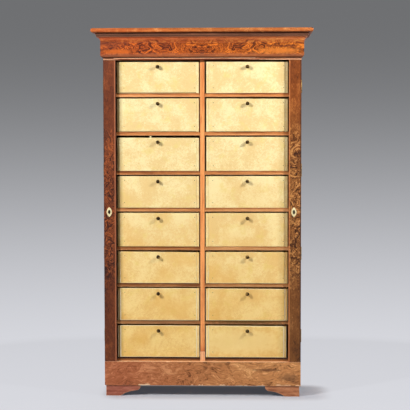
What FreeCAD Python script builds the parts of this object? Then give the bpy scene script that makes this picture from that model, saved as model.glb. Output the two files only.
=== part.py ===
"""Bird egg collection cabinet.

Sixteen lidless boxes slide in two columns inside a veneered carcase. A locking stile hinged on
each front corner covers the ends of the shelves. X runs to the right, the front faces -Y, +Z is up,
and the origin is on the floor under the centre of the cabinet. Sizes are in millimetres.

The pieces are built with Y measured back from the front face of the stiles, and moved to the
cabinet's own origin when they are written.
"""
import FreeCAD
import Part
import math
import os

from FreeCAD import Vector

# ---------------------------------------------------------------- driving dimensions
# body
body_width = 910.0
body_depth = 380.0
foot_height = 50.0
plinth_height = 112.0
plinth_front_thickness = 24.0
plinth_side_thickness = 22.0
bottom_thickness = 18.0
top_thickness = 18.0
side_thickness = 22.0
post_depth = 30.0
divider_thickness = 23.0
shelf_thickness = 17.0
bay_heights = (152.0, 160.0, 164.0, 153.5, 162.5, 154.0, 156.5, 155.5)  # clear, top to bottom
housing_depth = 6.0
back_thickness = 10.0
back_rebate = 12.0
back_board_count = 6
repair_block_height = 44.0
repair_block_depth = 12.0

# stiles
stile_width = 57.0
stile_thickness = 20.0
stile_gap = 1.0
stile_arris_radius = 1.5

# cornice, from the stiles up
fillet_rail_height = 9.0
torus_height = 20.0
frieze_height = 49.0
cavetto_height = 26.0
neck_lower_height = 7.0
neck_upper_height = 12.0
slab_thickness = 20.0
frieze_projection = 11.0
cavetto_projection = 25.0
neck_lower_projection = 27.5
neck_upper_projection = 30.5
slab_projection = 51.0
slab_nose_radius = 9.0

# feet
foot_inset = 5.5
foot_thickness = 22.0
foot_length = 159.0
side_foot_length = 120.0
rear_bracket_length = 100.0
foot_base_length = 67.0
foot_toe_radius = 19.0
foot_toe_rise = 25.0
foot_arch_sagitta = 5.0

# boxes
box_depth = 335.0
box_side_gap = 4.0
box_top_gap = 6.0
box_seat_gap = 0.3
box_proud = 2.0
box_wall = 11.5
box_front_thickness = 12.0
box_back_thickness = 10.0
box_bottom_thickness = 8.0
guide_clearance = 1.0
guide_height = 20.0

# knobs
knob_drop = 25.0
knob_shift = {"left": 0.0, "right": 3.5}  # off the middle of the box
knob_ball_radius = 8.75
knob_neck_radius = 3.4
knob_neck_length = 4.0
knob_rosette_radius = 6.5
knob_rosette_thickness = 1.5
knob_shank_radius = 2.4
knob_nut_radius = 6.0
knob_nut_thickness = 3.0

# hinges
hinge_count = 4
hinge_end_margin = 120.0
hinge_length = 60.0
hinge_leaf_width = 20.0
hinge_leaf_thickness = 1.2
hinge_knuckle_count = 5
hinge_knuckle_radius = 3.0
hinge_pin_radius = 1.5
hinge_pin_clearance = 0.05
hinge_end_clearance = 0.2
hinge_cove_clearance = 0.4

# locks
lock_level = 858.0
key_inset = {"left": 25.0, "right": 33.0}
lock_case_width = 36.0
lock_case_height = 62.0
lock_case_depth = 26.0
lock_front_wood = 6.0
lock_pocket_clearance = 3.0
bolt_width = 20.0
bolt_thickness = 4.0
bolt_length = 30.0
bolt_back_wall = 2.0
bolt_clearance = 0.3
bolt_travel = 9.0
escutcheon_width = 24.0
escutcheon_height = 46.0
escutcheon_thickness = 1.6
escutcheon_proud = 0.9
escutcheon_chamfer = 0.5
keyhole_radius = 4.5
keyhole_slot_width = 5.4
keyhole_slot_length = 10.0
keyhole_case_depth = 5.0

# ---------------------------------------------------------------- levels and planes worked out from them
row_count = len(bay_heights)
half_width = body_width / 2
carcase_front = stile_thickness + stile_gap
post_back = carcase_front + post_depth
back_plane = body_depth - back_thickness
post_inner = half_width - stile_width
side_inner = half_width - side_thickness
divider_face = divider_thickness / 2
plinth_top = foot_height + plinth_height
bottom_seat = plinth_top + bottom_thickness
bays_top = bottom_seat + sum(bay_heights) + (row_count - 1) * shelf_thickness
carcase_top_level = bays_top + top_thickness
cornice_base = bays_top + fillet_rail_height
frieze_base = cornice_base + torus_height
frieze_top = frieze_base + frieze_height
cavetto_top = frieze_top + cavetto_height
neck_step = cavetto_top + neck_lower_height
cornice_top_level = neck_step + neck_upper_height
stile_bottom = plinth_top + stile_gap
stile_top = bays_top - stile_gap
box_width = post_inner - divider_face - 2 * box_side_gap
box_front = carcase_front - box_proud
hinge_axis_y = stile_thickness + stile_gap / 2
case_front = lock_front_wood
case_back = case_front + lock_case_depth
bolt_back = case_back - bolt_back_wall - bolt_clearance
centre_shift = (slab_projection - body_depth) / 2
sides = {"left": -1, "right": 1}


def row_seat(row):
    """Top face of the shelf that carries a row, counted from 1 at the top."""
    rows_below = row_count - row
    return bottom_seat + sum(bay_heights[row:]) + rows_below * shelf_thickness


# ---------------------------------------------------------------- helpers
def block(x0, x1, y0, y1, z0, z1):
    """Rectangular piece between two corners, with X given in either order."""
    corner = Vector(min(x0, x1), y0, z0)
    return Part.makeBox(abs(x1 - x0), y1 - y0, z1 - z0, corner)


def prism(points, run):
    """Straight piece: a closed outline of points carried along the vector run."""
    outline = Part.makePolygon(points + [points[0]])
    return Part.Face(outline).extrude(run)


def edge_line(start, end):
    """Straight edge of an outline."""
    return Part.LineSegment(start, end).toShape()


def edge_arc(start, through, end):
    """Round edge of an outline, through three points."""
    return Part.Arc(start, through, end).toShape()


def write(node, solids):
    """Write one node, moved so that the cabinet's centre is at Y = 0."""
    shape = solids[0] if len(solids) == 1 else Part.makeCompound(solids)
    moved = shape.copy()
    moved.translate(Vector(0, centre_shift, 0))
    moved.exportStep("parts/%s.step" % node)


# ---------------------------------------------------------------- plinth and feet
def plinth():
    """Four boards under the carcase: front, two sides and a rear rail."""
    rear_front = body_depth - plinth_side_thickness
    inner = half_width - plinth_side_thickness
    front = block(-half_width, half_width, 0, plinth_front_thickness, foot_height, plinth_top)
    rear = block(-half_width, half_width, rear_front, body_depth, foot_height, plinth_top)
    boards = [front, rear]
    for side in sides.values():
        boards.append(block(side * inner, side * half_width, plinth_front_thickness, rear_front,
                            foot_height, plinth_top))
    return boards


def bracket_outline(length, place):
    """Outline of a foot bracket: upright at the corner, arched, with a rounded toe.

    place turns a distance along the bracket and a height into a point.
    """
    toe_start = length - foot_toe_radius
    toe_top = foot_toe_rise + foot_toe_radius
    diagonal = foot_toe_radius * math.sqrt(0.5)
    run = toe_start - foot_base_length
    chord = math.hypot(run, foot_toe_rise)
    arch_u = (foot_base_length + toe_start) / 2 - foot_arch_sagitta * foot_toe_rise / chord
    arch_z = foot_toe_rise / 2 + foot_arch_sagitta * run / chord
    edges = [
        edge_line(place(0, foot_height), place(0, 0)),
        edge_line(place(0, 0), place(foot_base_length, 0)),
        edge_arc(place(foot_base_length, 0), place(arch_u, arch_z), place(toe_start, foot_toe_rise)),
        edge_arc(place(toe_start, foot_toe_rise),
                 place(toe_start + diagonal, toe_top - diagonal),
                 place(length, toe_top)),
        edge_line(place(length, toe_top), place(length, foot_height)),
        edge_line(place(length, foot_height), place(0, foot_height)),
    ]
    return Part.Face(Part.Wire(edges))


def front_foot(side):
    """Front bracket and side bracket of one front corner, butted behind the front one."""
    outer = half_width - foot_inset
    front = bracket_outline(foot_length, lambda u, z: Vector(side * (outer - u), foot_inset, z))
    front = front.extrude(Vector(0, foot_thickness, 0))
    start = foot_inset + foot_thickness
    flank = bracket_outline(side_foot_length - foot_thickness,
                            lambda u, z: Vector(side * outer, start + u, z))
    flank = flank.extrude(Vector(-side * foot_thickness, 0, 0))
    return [front, flank]


def back_foot(side):
    """Side bracket and plain rear bracket of one back corner."""
    outer = half_width - foot_inset
    back = body_depth - foot_inset
    rear_front = back - foot_thickness
    flank = bracket_outline(side_foot_length - foot_thickness,
                            lambda u, z: Vector(side * outer, rear_front - u, z))
    flank = flank.extrude(Vector(-side * foot_thickness, 0, 0))
    rear = block(side * (outer - rear_bracket_length), side * outer, rear_front, back, 0, foot_height)
    return [flank, rear]


# ---------------------------------------------------------------- carcase
def notched_board(x_divider, x_post, x_divider_housed, x_side_housed, z0, z1):
    """Board that fits between the posts in front and into its housings behind them."""
    front = block(x_divider, x_post, carcase_front, post_back, z0, z1)
    rear = block(x_divider_housed, x_side_housed, post_back, back_plane, z0, z1)
    return front.fuse(rear).removeSplitter().Solids[0]


def shelf_levels():
    """Lower and upper face of each shelf, from the top."""
    return [(row_seat(row) - shelf_thickness, row_seat(row)) for row in range(1, row_count)]


def side_panel(side):
    """Side board, housed for the boards that it carries and rebated for the back."""
    panel = block(side * side_inner, side * half_width, post_back, body_depth,
                  plinth_top, cornice_top_level)
    housed = side_inner + housing_depth
    levels = shelf_levels() + [(plinth_top, bottom_seat), (bays_top, carcase_top_level)]
    for low, high in levels:
        panel = panel.cut(block(side * side_inner, side * housed, post_back, back_plane, low, high))
    rebate = block(side * side_inner, side * (side_inner + back_rebate), back_plane, body_depth,
                   plinth_top, carcase_top_level)
    return panel.cut(rebate)


def repair_block():
    """Short pieced-in block at the foot of the divider's front edge."""
    return block(-divider_face, divider_face, carcase_front, carcase_front + repair_block_depth,
                 plinth_top, plinth_top + repair_block_height)


def spanning_board(z0, z1):
    """Full-width board at the bottom or top of the carcase."""
    housed = side_inner + housing_depth
    return notched_board(-post_inner, post_inner, -housed, housed, z0, z1)


def centre_partition():
    """Upright board between the two columns, with stopped housings for the shelves."""
    board = block(-divider_face, divider_face, carcase_front, back_plane, bottom_seat, bays_top)
    for low, high in shelf_levels():
        for side in sides.values():
            board = board.cut(block(side * (divider_face - housing_depth), side * divider_face,
                                    post_back, back_plane, low, high))
    return [board.cut(repair_block()), repair_block()]


def shelves(side):
    """The shelves of one column."""
    return [notched_board(side * divider_face, side * post_inner,
                          side * (divider_face - housing_depth), side * (side_inner + housing_depth),
                          low, high)
            for low, high in shelf_levels()]


def drawer_guides():
    """Strips behind the posts that keep each box square to the front."""
    box_outer = post_inner - box_side_gap
    strips = []
    for side in sides.values():
        for row in range(1, row_count + 1):
            seat = row_seat(row)
            strips.append(block(side * (box_outer + guide_clearance), side * side_inner,
                                post_back, back_plane, seat, seat + guide_height))
    return strips


def back_boards():
    """Upright boards let into the rebates of the side panels."""
    reach = side_inner + back_rebate
    width = 2 * reach / back_board_count
    return [block(-reach + n * width, -reach + (n + 1) * width, back_plane, body_depth,
                  plinth_top, carcase_top_level)
            for n in range(back_board_count)]


# ---------------------------------------------------------------- cornice
def cornice_section(back, place):
    """Section of the cornice moulding: torus, flat frieze, cavetto and a stepped neck.

    place turns a projection from the body and a height into a point.
    """
    quarter = math.sqrt(0.5)
    torus_through = place(frieze_projection * quarter, frieze_base - torus_height * quarter)
    hollow = cavetto_projection - frieze_projection
    cavetto_through = place(cavetto_projection - hollow * quarter,
                            frieze_top + cavetto_height * quarter)
    edges = [
        edge_arc(place(0, cornice_base), torus_through, place(frieze_projection, frieze_base)),
        edge_line(place(frieze_projection, frieze_base), place(frieze_projection, frieze_top)),
        edge_arc(place(frieze_projection, frieze_top), cavetto_through,
                 place(cavetto_projection, cavetto_top)),
        edge_line(place(cavetto_projection, cavetto_top), place(neck_lower_projection, cavetto_top)),
        edge_line(place(neck_lower_projection, cavetto_top), place(neck_lower_projection, neck_step)),
        edge_line(place(neck_lower_projection, neck_step), place(neck_upper_projection, neck_step)),
        edge_line(place(neck_upper_projection, neck_step),
                  place(neck_upper_projection, cornice_top_level)),
    ]
    rear = [place(neck_upper_projection, cornice_top_level), place(-back, cornice_top_level),
            place(-back, cornice_base)]
    if back > 0:
        rear.append(place(0, cornice_base))
    edges += [edge_line(start, end) for start, end in zip(rear, rear[1:])]
    return Part.Face(Part.Wire(edges))


def cornice_moulding():
    """Front run and two returns, mitred at the corners."""
    reach = neck_upper_projection
    outer = half_width + reach
    tall = Vector(0, 0, cornice_top_level - cornice_base)
    front_run = cornice_section(carcase_front, lambda o, z: Vector(-outer, -o, z))
    front_run = front_run.extrude(Vector(2 * outer, 0, 0))
    front_plan = [Vector(-outer, -reach, cornice_base), Vector(outer, -reach, cornice_base),
                  Vector(half_width, 0, cornice_base), Vector(half_width, carcase_front, cornice_base),
                  Vector(-half_width, carcase_front, cornice_base), Vector(-half_width, 0, cornice_base)]
    runs = [front_run.common(prism(front_plan, tall))]
    for side in sides.values():
        run = cornice_section(0, lambda o, z: Vector(side * (half_width + o), -reach, z))
        run = run.extrude(Vector(0, body_depth + reach, 0))
        plan = [Vector(side * outer, -reach, cornice_base), Vector(side * outer, body_depth, cornice_base),
                Vector(side * half_width, body_depth, cornice_base),
                Vector(side * half_width, 0, cornice_base)]
        runs.append(run.common(prism(plan, tall)))
    return [run.Solids[0] for run in runs]


def nosed_section(place, depth):
    """Section of the top slab: square at the back, rounded at the nose."""
    top = cornice_top_level + slab_thickness
    low = cornice_top_level
    r = slab_nose_radius
    in_corner = r * (1 - math.sqrt(0.5))
    edges = [
        edge_line(place(depth, low), place(r, low)),
        edge_arc(place(r, low), place(in_corner, low + in_corner), place(0, low + r)),
        edge_line(place(0, low + r), place(0, top - r)),
        edge_arc(place(0, top - r), place(in_corner, top - in_corner), place(r, top)),
        edge_line(place(r, top), place(depth, top)),
        edge_line(place(depth, top), place(depth, low)),
    ]
    return Part.Face(Part.Wire(edges))


def cornice_top():
    """Slab over the cornice, nosed in front and on both ends, flush at the back."""
    reach = half_width + slab_projection
    depth = slab_projection + body_depth
    slab = nosed_section(lambda d, z: Vector(-reach, d - slab_projection, z), depth)
    slab = slab.extrude(Vector(2 * reach, 0, 0))
    for side in sides.values():
        end = nosed_section(lambda d, z: Vector(side * (reach - d), -slab_projection, z), 2 * reach)
        slab = slab.common(end.extrude(Vector(0, depth, 0)))
    return slab.Solids[0]


def fillet_rail():
    """Thin rail between the stiles and the cornice."""
    return block(-half_width, half_width, 0, carcase_front, bays_top, cornice_base)


# ---------------------------------------------------------------- hinges
def hinge_bottoms():
    """Lower end of each hinge on a stile."""
    first = stile_bottom + hinge_end_margin
    last = stile_top - hinge_end_margin
    step = (last - first) / (hinge_count - 1)
    return [first + n * step - hinge_length / 2 for n in range(hinge_count)]


def hinge_rod(side, radius, z0, z1):
    """Round bar on the hinge axis of one stile."""
    return Part.makeCylinder(radius, z1 - z0, Vector(side * half_width, hinge_axis_y, z0))


def knuckle_spans(z0, first, trim):
    """Every second knuckle of a hinge from number first, shortened by trim at each end."""
    pitch = hinge_length / hinge_knuckle_count
    return [(z0 + n * pitch + trim, z0 + (n + 1) * pitch - trim)
            for n in range(first, hinge_knuckle_count, 2)]


def hinge_leaf(side, z0, y0, own_first, other_first, trim):
    """Flat leaf with its own knuckles, relieved round the knuckles of the other leaf."""
    relief = hinge_knuckle_radius + hinge_cove_clearance
    leaf = block(side * (half_width - hinge_leaf_width), side * half_width,
                 y0, y0 + hinge_leaf_thickness, z0, z0 + hinge_length)
    for low, high in knuckle_spans(z0, other_first, 0):
        leaf = leaf.cut(hinge_rod(side, relief, low, high))
    for low, high in knuckle_spans(z0, own_first, trim):
        leaf = leaf.fuse(hinge_rod(side, hinge_knuckle_radius, low, high))
    return leaf


def fixed_leaf(side, z0):
    """Leaf on the post, in one piece with the hinge pin."""
    leaf = hinge_leaf(side, z0, carcase_front, 0, 1, 0)
    leaf = leaf.fuse(hinge_rod(side, hinge_pin_radius, z0, z0 + hinge_length))
    return leaf.removeSplitter().Solids[0]


def moving_leaf(side, z0):
    """Leaf on the stile, bored for the pin."""
    leaf = hinge_leaf(side, z0, stile_thickness - hinge_leaf_thickness, 1, 0, hinge_end_clearance)
    bore = hinge_rod(side, hinge_pin_radius + hinge_pin_clearance, z0, z0 + hinge_length)
    return leaf.cut(bore).removeSplitter().Solids[0]


def cut_hinge_seats(piece, side, y0):
    """Let the leaves flush into a stile or post and hollow its corner for the knuckles."""
    relief = hinge_knuckle_radius + hinge_cove_clearance
    for z0 in hinge_bottoms():
        z1 = z0 + hinge_length
        piece = piece.cut(block(side * (half_width - hinge_leaf_width), side * half_width,
                                y0, y0 + hinge_leaf_thickness, z0, z1))
        piece = piece.cut(hinge_rod(side, relief, z0, z1))
    return piece


# ---------------------------------------------------------------- locks
def keyhole(x, y0, y1):
    """Keyhole-shaped plug: a round hole over a slot."""
    top = lock_level + keyhole_slot_length / 2
    bore = Part.makeCylinder(keyhole_radius, y1 - y0, Vector(x, y0, top), Vector(0, 1, 0))
    half_slot = keyhole_slot_width / 2
    slot = block(x - half_slot, x + half_slot, y0, y1, top - keyhole_radius - keyhole_slot_length, top)
    return bore.fuse(slot).removeSplitter()


def lock_x(name):
    """Centre of the keyhole on the left or right stile."""
    return sides[name] * (half_width - key_inset[name])


def case_block(name, grow_x, grow_z, y0, y1):
    """Outline of the lock case, grown sideways and upwards by given clearances."""
    half_case = lock_case_width / 2 + grow_x
    half_tall = lock_case_height / 2 + grow_z
    x = lock_x(name)
    return block(x - half_case, x + half_case, y0, y1, lock_level - half_tall, lock_level + half_tall)


def bolt_block(name, grow, rise):
    """The bolt, grown by a clearance on its sides and raised at its top."""
    top = lock_level + lock_case_height / 2
    half_bolt = bolt_width / 2 + grow
    x = lock_x(name)
    return block(x - half_bolt, x + half_bolt, bolt_back - bolt_thickness - grow, bolt_back + grow,
                 top - bolt_length - grow, top + rise)


def lock_case(name):
    """Case let into the back of the stile, with a channel that the bolt slides in."""
    case = case_block(name, 0, 0, case_front, case_back)
    case = case.cut(bolt_block(name, bolt_clearance, 0))
    return case.cut(keyhole(lock_x(name), case_front, case_front + keyhole_case_depth)).Solids[0]


def escutcheon_outline(name, y):
    """Pointed oval: two arcs that meet above and below the keyhole."""
    x = lock_x(name)
    tip = escutcheon_height / 2
    waist = escutcheon_width / 2
    top = Vector(x, y, lock_level + tip)
    low = Vector(x, y, lock_level - tip)
    return Part.Face(Part.Wire([edge_arc(low, Vector(x + waist, y, lock_level), top),
                                edge_arc(top, Vector(x - waist, y, lock_level), low)]))


def escutcheon_blank(name):
    """Plate of the escutcheon before the keyhole is cut."""
    return escutcheon_outline(name, -escutcheon_proud).extrude(Vector(0, escutcheon_thickness, 0))


def escutcheon(name):
    """Plate round the keyhole, with its front edge eased."""
    plate = escutcheon_blank(name)
    rim = [edge for edge in plate.Edges
           if edge.BoundBox.YMax < escutcheon_chamfer - escutcheon_proud]
    plate = plate.makeChamfer(escutcheon_chamfer, rim)
    hole = keyhole(lock_x(name), -escutcheon_proud, escutcheon_thickness)
    return plate.cut(hole).Solids[0]


# ---------------------------------------------------------------- posts and stiles
def front_post(name):
    """Corner post behind a stile, with its hinge seats and the lock's pocket and mortise."""
    side = sides[name]
    post = block(side * post_inner, side * half_width, carcase_front, post_back,
                 plinth_top, cornice_top_level)
    post = cut_hinge_seats(post, side, carcase_front)
    pocket = case_block(name, lock_pocket_clearance, lock_pocket_clearance,
                        carcase_front, case_back + lock_pocket_clearance)
    mortise = bolt_block(name, 2 * bolt_clearance, bolt_travel + 2 * bolt_clearance)
    return post.cut(pocket).cut(mortise).Solids[0]


def stile(name):
    """Locking stile: eased front arrises, hinge seats, keyhole and the lock's recess."""
    side = sides[name]
    board = block(side * post_inner, side * half_width, 0, stile_thickness, stile_bottom, stile_top)
    front_edges = [edge for edge in board.Edges
                   if edge.BoundBox.YMax < stile_arris_radius and edge.BoundBox.ZLength > stile_width]
    board = board.makeFillet(stile_arris_radius, front_edges)
    board = cut_hinge_seats(board, side, stile_thickness - hinge_leaf_thickness)
    board = board.cut(case_block(name, 0, 0, case_front, stile_thickness))
    board = board.cut(keyhole(lock_x(name), 0, case_front))
    return board.cut(escutcheon_blank(name)).Solids[0]


# ---------------------------------------------------------------- boxes
def box_frame(name, row):
    """Left edge, right edge, underside and top of one box."""
    side = sides[name]
    inner = side * (divider_face + box_side_gap)
    outer = side * (post_inner - box_side_gap)
    low = row_seat(row) + box_seat_gap
    high = row_seat(row) + bay_heights[row - 1] - box_top_gap
    return min(inner, outer), max(inner, outer), low, high


def knob_place(name, row):
    """Where the knob's axis meets the front of its box."""
    left, right, low, high = box_frame(name, row)
    return Vector((left + right) / 2 + knob_shift[name], box_front, high - knob_drop)


def egg_box(name, row):
    """Lidless box: front and back set between the sides, above a bottom that runs to the front."""
    left, right, low, high = box_frame(name, row)
    back = box_front + box_depth
    floor = low + box_bottom_thickness
    hole = Part.makeCylinder(knob_shank_radius, box_front_thickness, knob_place(name, row),
                             Vector(0, 1, 0))
    front = block(left + box_wall, right - box_wall, box_front, box_front + box_front_thickness,
                  floor, high).cut(hole)
    return [
        front,
        block(left, left + box_wall, box_front, back, low, high),
        block(right - box_wall, right, box_front, back, low, high),
        block(left + box_wall, right - box_wall, back - box_back_thickness, back, floor, high),
        block(left + box_wall, right - box_wall, box_front, back, low, floor),
    ]


def knob(name, row):
    """Turned ball knob on a shank, with the nut that holds it inside the box."""
    neck_top = knob_rosette_thickness + knob_neck_length
    ball_entry = math.sqrt(knob_ball_radius ** 2 - knob_neck_radius ** 2)
    ball_centre = neck_top + ball_entry
    shank_end = -box_front_thickness - knob_nut_thickness

    def at(r, out):
        return Vector(r, -out, 0)

    edges = [
        edge_line(at(0, shank_end), at(knob_shank_radius, shank_end)),
        edge_line(at(knob_shank_radius, shank_end), at(knob_shank_radius, 0)),
        edge_line(at(knob_shank_radius, 0), at(knob_rosette_radius, 0)),
        edge_line(at(knob_rosette_radius, 0), at(knob_rosette_radius, knob_rosette_thickness)),
        edge_line(at(knob_rosette_radius, knob_rosette_thickness),
                  at(knob_neck_radius, knob_rosette_thickness)),
        edge_line(at(knob_neck_radius, knob_rosette_thickness), at(knob_neck_radius, neck_top)),
        edge_arc(at(knob_neck_radius, neck_top), at(knob_ball_radius, ball_centre),
                 at(0, ball_centre + knob_ball_radius)),
        edge_line(at(0, ball_centre + knob_ball_radius), at(0, shank_end)),
    ]
    turned = Part.Face(Part.Wire(edges)).revolve(Vector(0, 0, 0), Vector(0, 1, 0), 360)
    place = knob_place(name, row)
    turned.translate(place)
    nut_base = place + Vector(0, box_front_thickness, 0)
    along = Vector(0, 1, 0)
    nut = Part.makeCylinder(knob_nut_radius, knob_nut_thickness, nut_base, along)
    nut = nut.cut(Part.makeCylinder(knob_shank_radius, knob_nut_thickness, nut_base, along))
    return [turned, nut]


# ---------------------------------------------------------------- the whole cabinet
os.makedirs("parts", exist_ok=True)

write("plinth", plinth())
write("front_feet", [board for side in sides.values() for board in front_foot(side)])
write("back_feet", [board for side in sides.values() for board in back_foot(side)])
write("carcase_bottom", [spanning_board(plinth_top, bottom_seat).cut(repair_block()).Solids[0]])
write("carcase_top", [spanning_board(bays_top, carcase_top_level)])
write("centre_partition", centre_partition())
write("drawer_guides", drawer_guides())
write("back_boards", back_boards())
write("fillet_rail", [fillet_rail()])
write("cornice_moulding", cornice_moulding())
write("cornice_top", [cornice_top()])
write("carcase_hinge_leaves", [fixed_leaf(side, z0) for side in sides.values() for z0 in hinge_bottoms()])

for name, side in sides.items():
    write("side_panel_" + name, [side_panel(side)])
    write("front_post_" + name, [front_post(name)])
    write("shelves_" + name, shelves(side))
    write("stile_" + name, [stile(name)])
    write("stile_hinge_leaves_" + name, [moving_leaf(side, z0) for z0 in hinge_bottoms()])
    write("escutcheon_" + name, [escutcheon(name)])
    write("lock_case_" + name, [lock_case(name)])
    write("lock_bolt_" + name, [bolt_block(name, 0, 0)])
    for row in range(1, row_count + 1):
        write("drawer_%s_%d" % (name, row), egg_box(name, row))
        write("knob_%s_%d" % (name, row), knob(name, row))
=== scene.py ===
# %% [markdown]
# # Dressing a bird egg collection cabinet
#
# The construction of this cabinet, every board, hinge and lock at its real size, comes as a fixed
# frame. This lesson gives it its looks: rounded and worn edges, figured veneer, mottled paper,
# tarnished brass, and the light of a small studio.
#
# Each new piece is worked out with numpy as a surface of two parameters. Each finish is a small
# network of nodes that reads the piece's own coordinates, so it stays put when a box slides out or
# a stile swings open.

# %% Load the frame
import math
from functools import partial, partialmethod
import bpy
import numpy as np
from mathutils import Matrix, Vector


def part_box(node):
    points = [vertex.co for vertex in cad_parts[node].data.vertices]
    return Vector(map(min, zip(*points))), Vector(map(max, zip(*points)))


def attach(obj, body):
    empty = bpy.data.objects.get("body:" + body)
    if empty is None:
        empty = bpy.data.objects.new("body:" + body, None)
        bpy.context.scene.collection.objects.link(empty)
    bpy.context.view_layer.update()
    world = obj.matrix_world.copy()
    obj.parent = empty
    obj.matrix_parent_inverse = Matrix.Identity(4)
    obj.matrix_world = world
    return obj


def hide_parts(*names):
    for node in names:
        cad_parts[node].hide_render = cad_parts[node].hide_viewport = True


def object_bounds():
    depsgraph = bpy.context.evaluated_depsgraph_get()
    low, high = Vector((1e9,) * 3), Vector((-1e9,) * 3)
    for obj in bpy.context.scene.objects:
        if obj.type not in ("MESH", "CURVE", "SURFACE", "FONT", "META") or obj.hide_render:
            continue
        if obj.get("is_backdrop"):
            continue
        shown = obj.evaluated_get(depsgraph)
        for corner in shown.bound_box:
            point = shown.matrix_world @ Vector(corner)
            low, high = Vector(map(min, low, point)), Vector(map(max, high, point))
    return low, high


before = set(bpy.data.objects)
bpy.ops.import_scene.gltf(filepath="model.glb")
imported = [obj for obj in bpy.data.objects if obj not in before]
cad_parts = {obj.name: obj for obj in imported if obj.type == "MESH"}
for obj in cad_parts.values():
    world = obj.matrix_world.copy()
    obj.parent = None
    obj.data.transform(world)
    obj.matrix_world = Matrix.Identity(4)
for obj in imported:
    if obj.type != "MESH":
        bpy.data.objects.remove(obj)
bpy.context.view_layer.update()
SIDES = {"left": -1, "right": 1}
ROWS = range(1, 9)
MM = 0.001

# %% [markdown]
# ## Reading sizes from the frame
#
# Nothing is placed by eye. The corners of a few nodes give every plane that the pieces need: the
# front of the stiles, the front edge of the carcase, the inner faces of the posts and so on.

# %% Planes and levels


def corners(node):
    """Lowest and highest corner of a node as two arrays."""
    return [np.array(corner, float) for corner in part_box(node)]


(STILE_INNER, STILE_FRONT, _), _ = corners("stile_right")
(POST_INNER, CARCASE_FRONT, _), (_, POST_BACK, _) = corners("front_post_right")
(SIDE_INNER, _, _), (HALF_WIDTH, BODY_BACK, _) = corners("side_panel_right")
_, (DIVIDER_FACE, BACK_PLANE, _) = corners("centre_partition")
(_, _, PLINTH_BASE), (_, _, PLINTH_TOP) = corners("plinth")
(_, _, CORNICE_BASE), (_, _, CORNICE_TOP) = corners("cornice_moulding")
_, (_, _, BOTTOM_SEAT) = corners("carcase_bottom")
(_, _, BAYS_TOP), _ = corners("carcase_top")
print("carcase front at y = %.4f m, half width %.4f m" % (CARCASE_FRONT, HALF_WIDTH))

# %% [markdown]
# ## Surfaces from outlines
#
# Almost every piece of a cabinet is a flat board with eased edges. It could be a cube with a Bevel
# modifier, but the edge of a board can also be an arch or the broken edge of old veneer. So a
# board starts as an outline of any shape. A straight edge is walked in steps, so that what rides
# on its points can change along it.

# %% Outlines


def unit(vectors):
    """Each vector divided by its length."""
    return vectors / np.maximum(np.linalg.norm(vectors, axis=-1, keepdims=True), 1e-12)


def normals(steps):
    """Unit vectors to the right of steps in a plane: a step (a, b) turns to (b, -a)."""
    ahead = unit(steps)
    return np.stack([ahead[:, 1], -ahead[:, 0]], axis=1)


def mitres(before, after):
    """Mitre (a + b) / (1 + a.b) of edges with unit normals a and b: it moves both by one."""
    dot = np.sum(before * after, axis=1, keepdims=True)
    return (before + after) / np.maximum(1 + dot, 0.5)


def walk(outline, step):
    """Points along the edges of an outline, at most a step apart, corners kept.

    Point k of the n on an edge from a to b is a + (b - a) * k / n.
    """
    start = np.asarray(outline, float)
    end = np.roll(start, -1, axis=0)
    counts = np.maximum(np.ceil(np.linalg.norm(end - start, axis=1) / step).astype(int), 1)
    return np.concatenate([a + (b - a) * (np.arange(n) / n)[:, None]
                           for a, b, n in zip(start, end, counts)])


def rectangle(u0, u1, v0, v1, step):
    """Outline of a rectangle, counter-clockwise, its points at most a step apart."""
    return walk([[u0, v0], [u1, v0], [u1, v1], [u0, v1]], step)


def arc_points(start, through, end, count):
    """Points of the circle through three points a, b and c, from a to c.

    Its centre m is as far from b as from a, so 2 (b - a) . m = b . b - a . a, and the same holds
    for c. The points are m + radius * (cos t, sin t).
    """
    a, b, c = (np.asarray(p, float) for p in (start, through, end))
    centre = np.linalg.solve(2 * np.array([b - a, c - a]), np.array([b @ b - a @ a, c @ c - a @ a]))
    angles = np.unwrap([math.atan2(*(p - centre)[::-1]) for p in (a, b, c)])
    turn = np.linspace(angles[0], angles[2], count)
    return centre + np.linalg.norm(a - centre) * np.stack([np.cos(turn), np.sin(turn)], axis=1)


print("a square in steps of a third:", len(rectangle(0, 1, 0, 1, 1 / 3)), "points")

# %% [markdown]
# ## Boards
#
# A board is its outline carried through its thickness. The outline shrinks a little near both
# faces, by the same amount all round, and that rounds the edges.
#
# Attributes ride on every point. `wear` is 1 on the rounded edges and 0 a few millimetres away
# from them, `grain` holds the board's own coordinates, with the first one along the grain, and
# `tone` says how light the board is.

# %% Boards


def ring_faces(rings, count, caps=True):
    """Quads between rings of count points each, and one face on each end.

    A quad joins points j and j + 1 of one ring with the same two points of the next.
    """
    i = np.arange(rings - 1)[:, None] * count
    j = np.arange(count)[None, :]
    k = (j + 1) % count
    faces = np.stack([i + j, i + k, i + count + k, i + count + j], axis=-1).reshape(-1, 4).tolist()
    ends = [list(range(count))[::-1], list(range((rings - 1) * count, rings * count))]
    return faces + ends if caps else faces


def new_part(points, faces, wear=0.0, grain=None, tone=0.0):
    """Points, faces and attributes of one part; wear and tone may be one number for all points."""
    every = np.ones(len(points))
    return {"points": points, "faces": faces, "wear": wear * every, "tone": tone * every,
            "grain": points if grain is None else grain}


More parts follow.
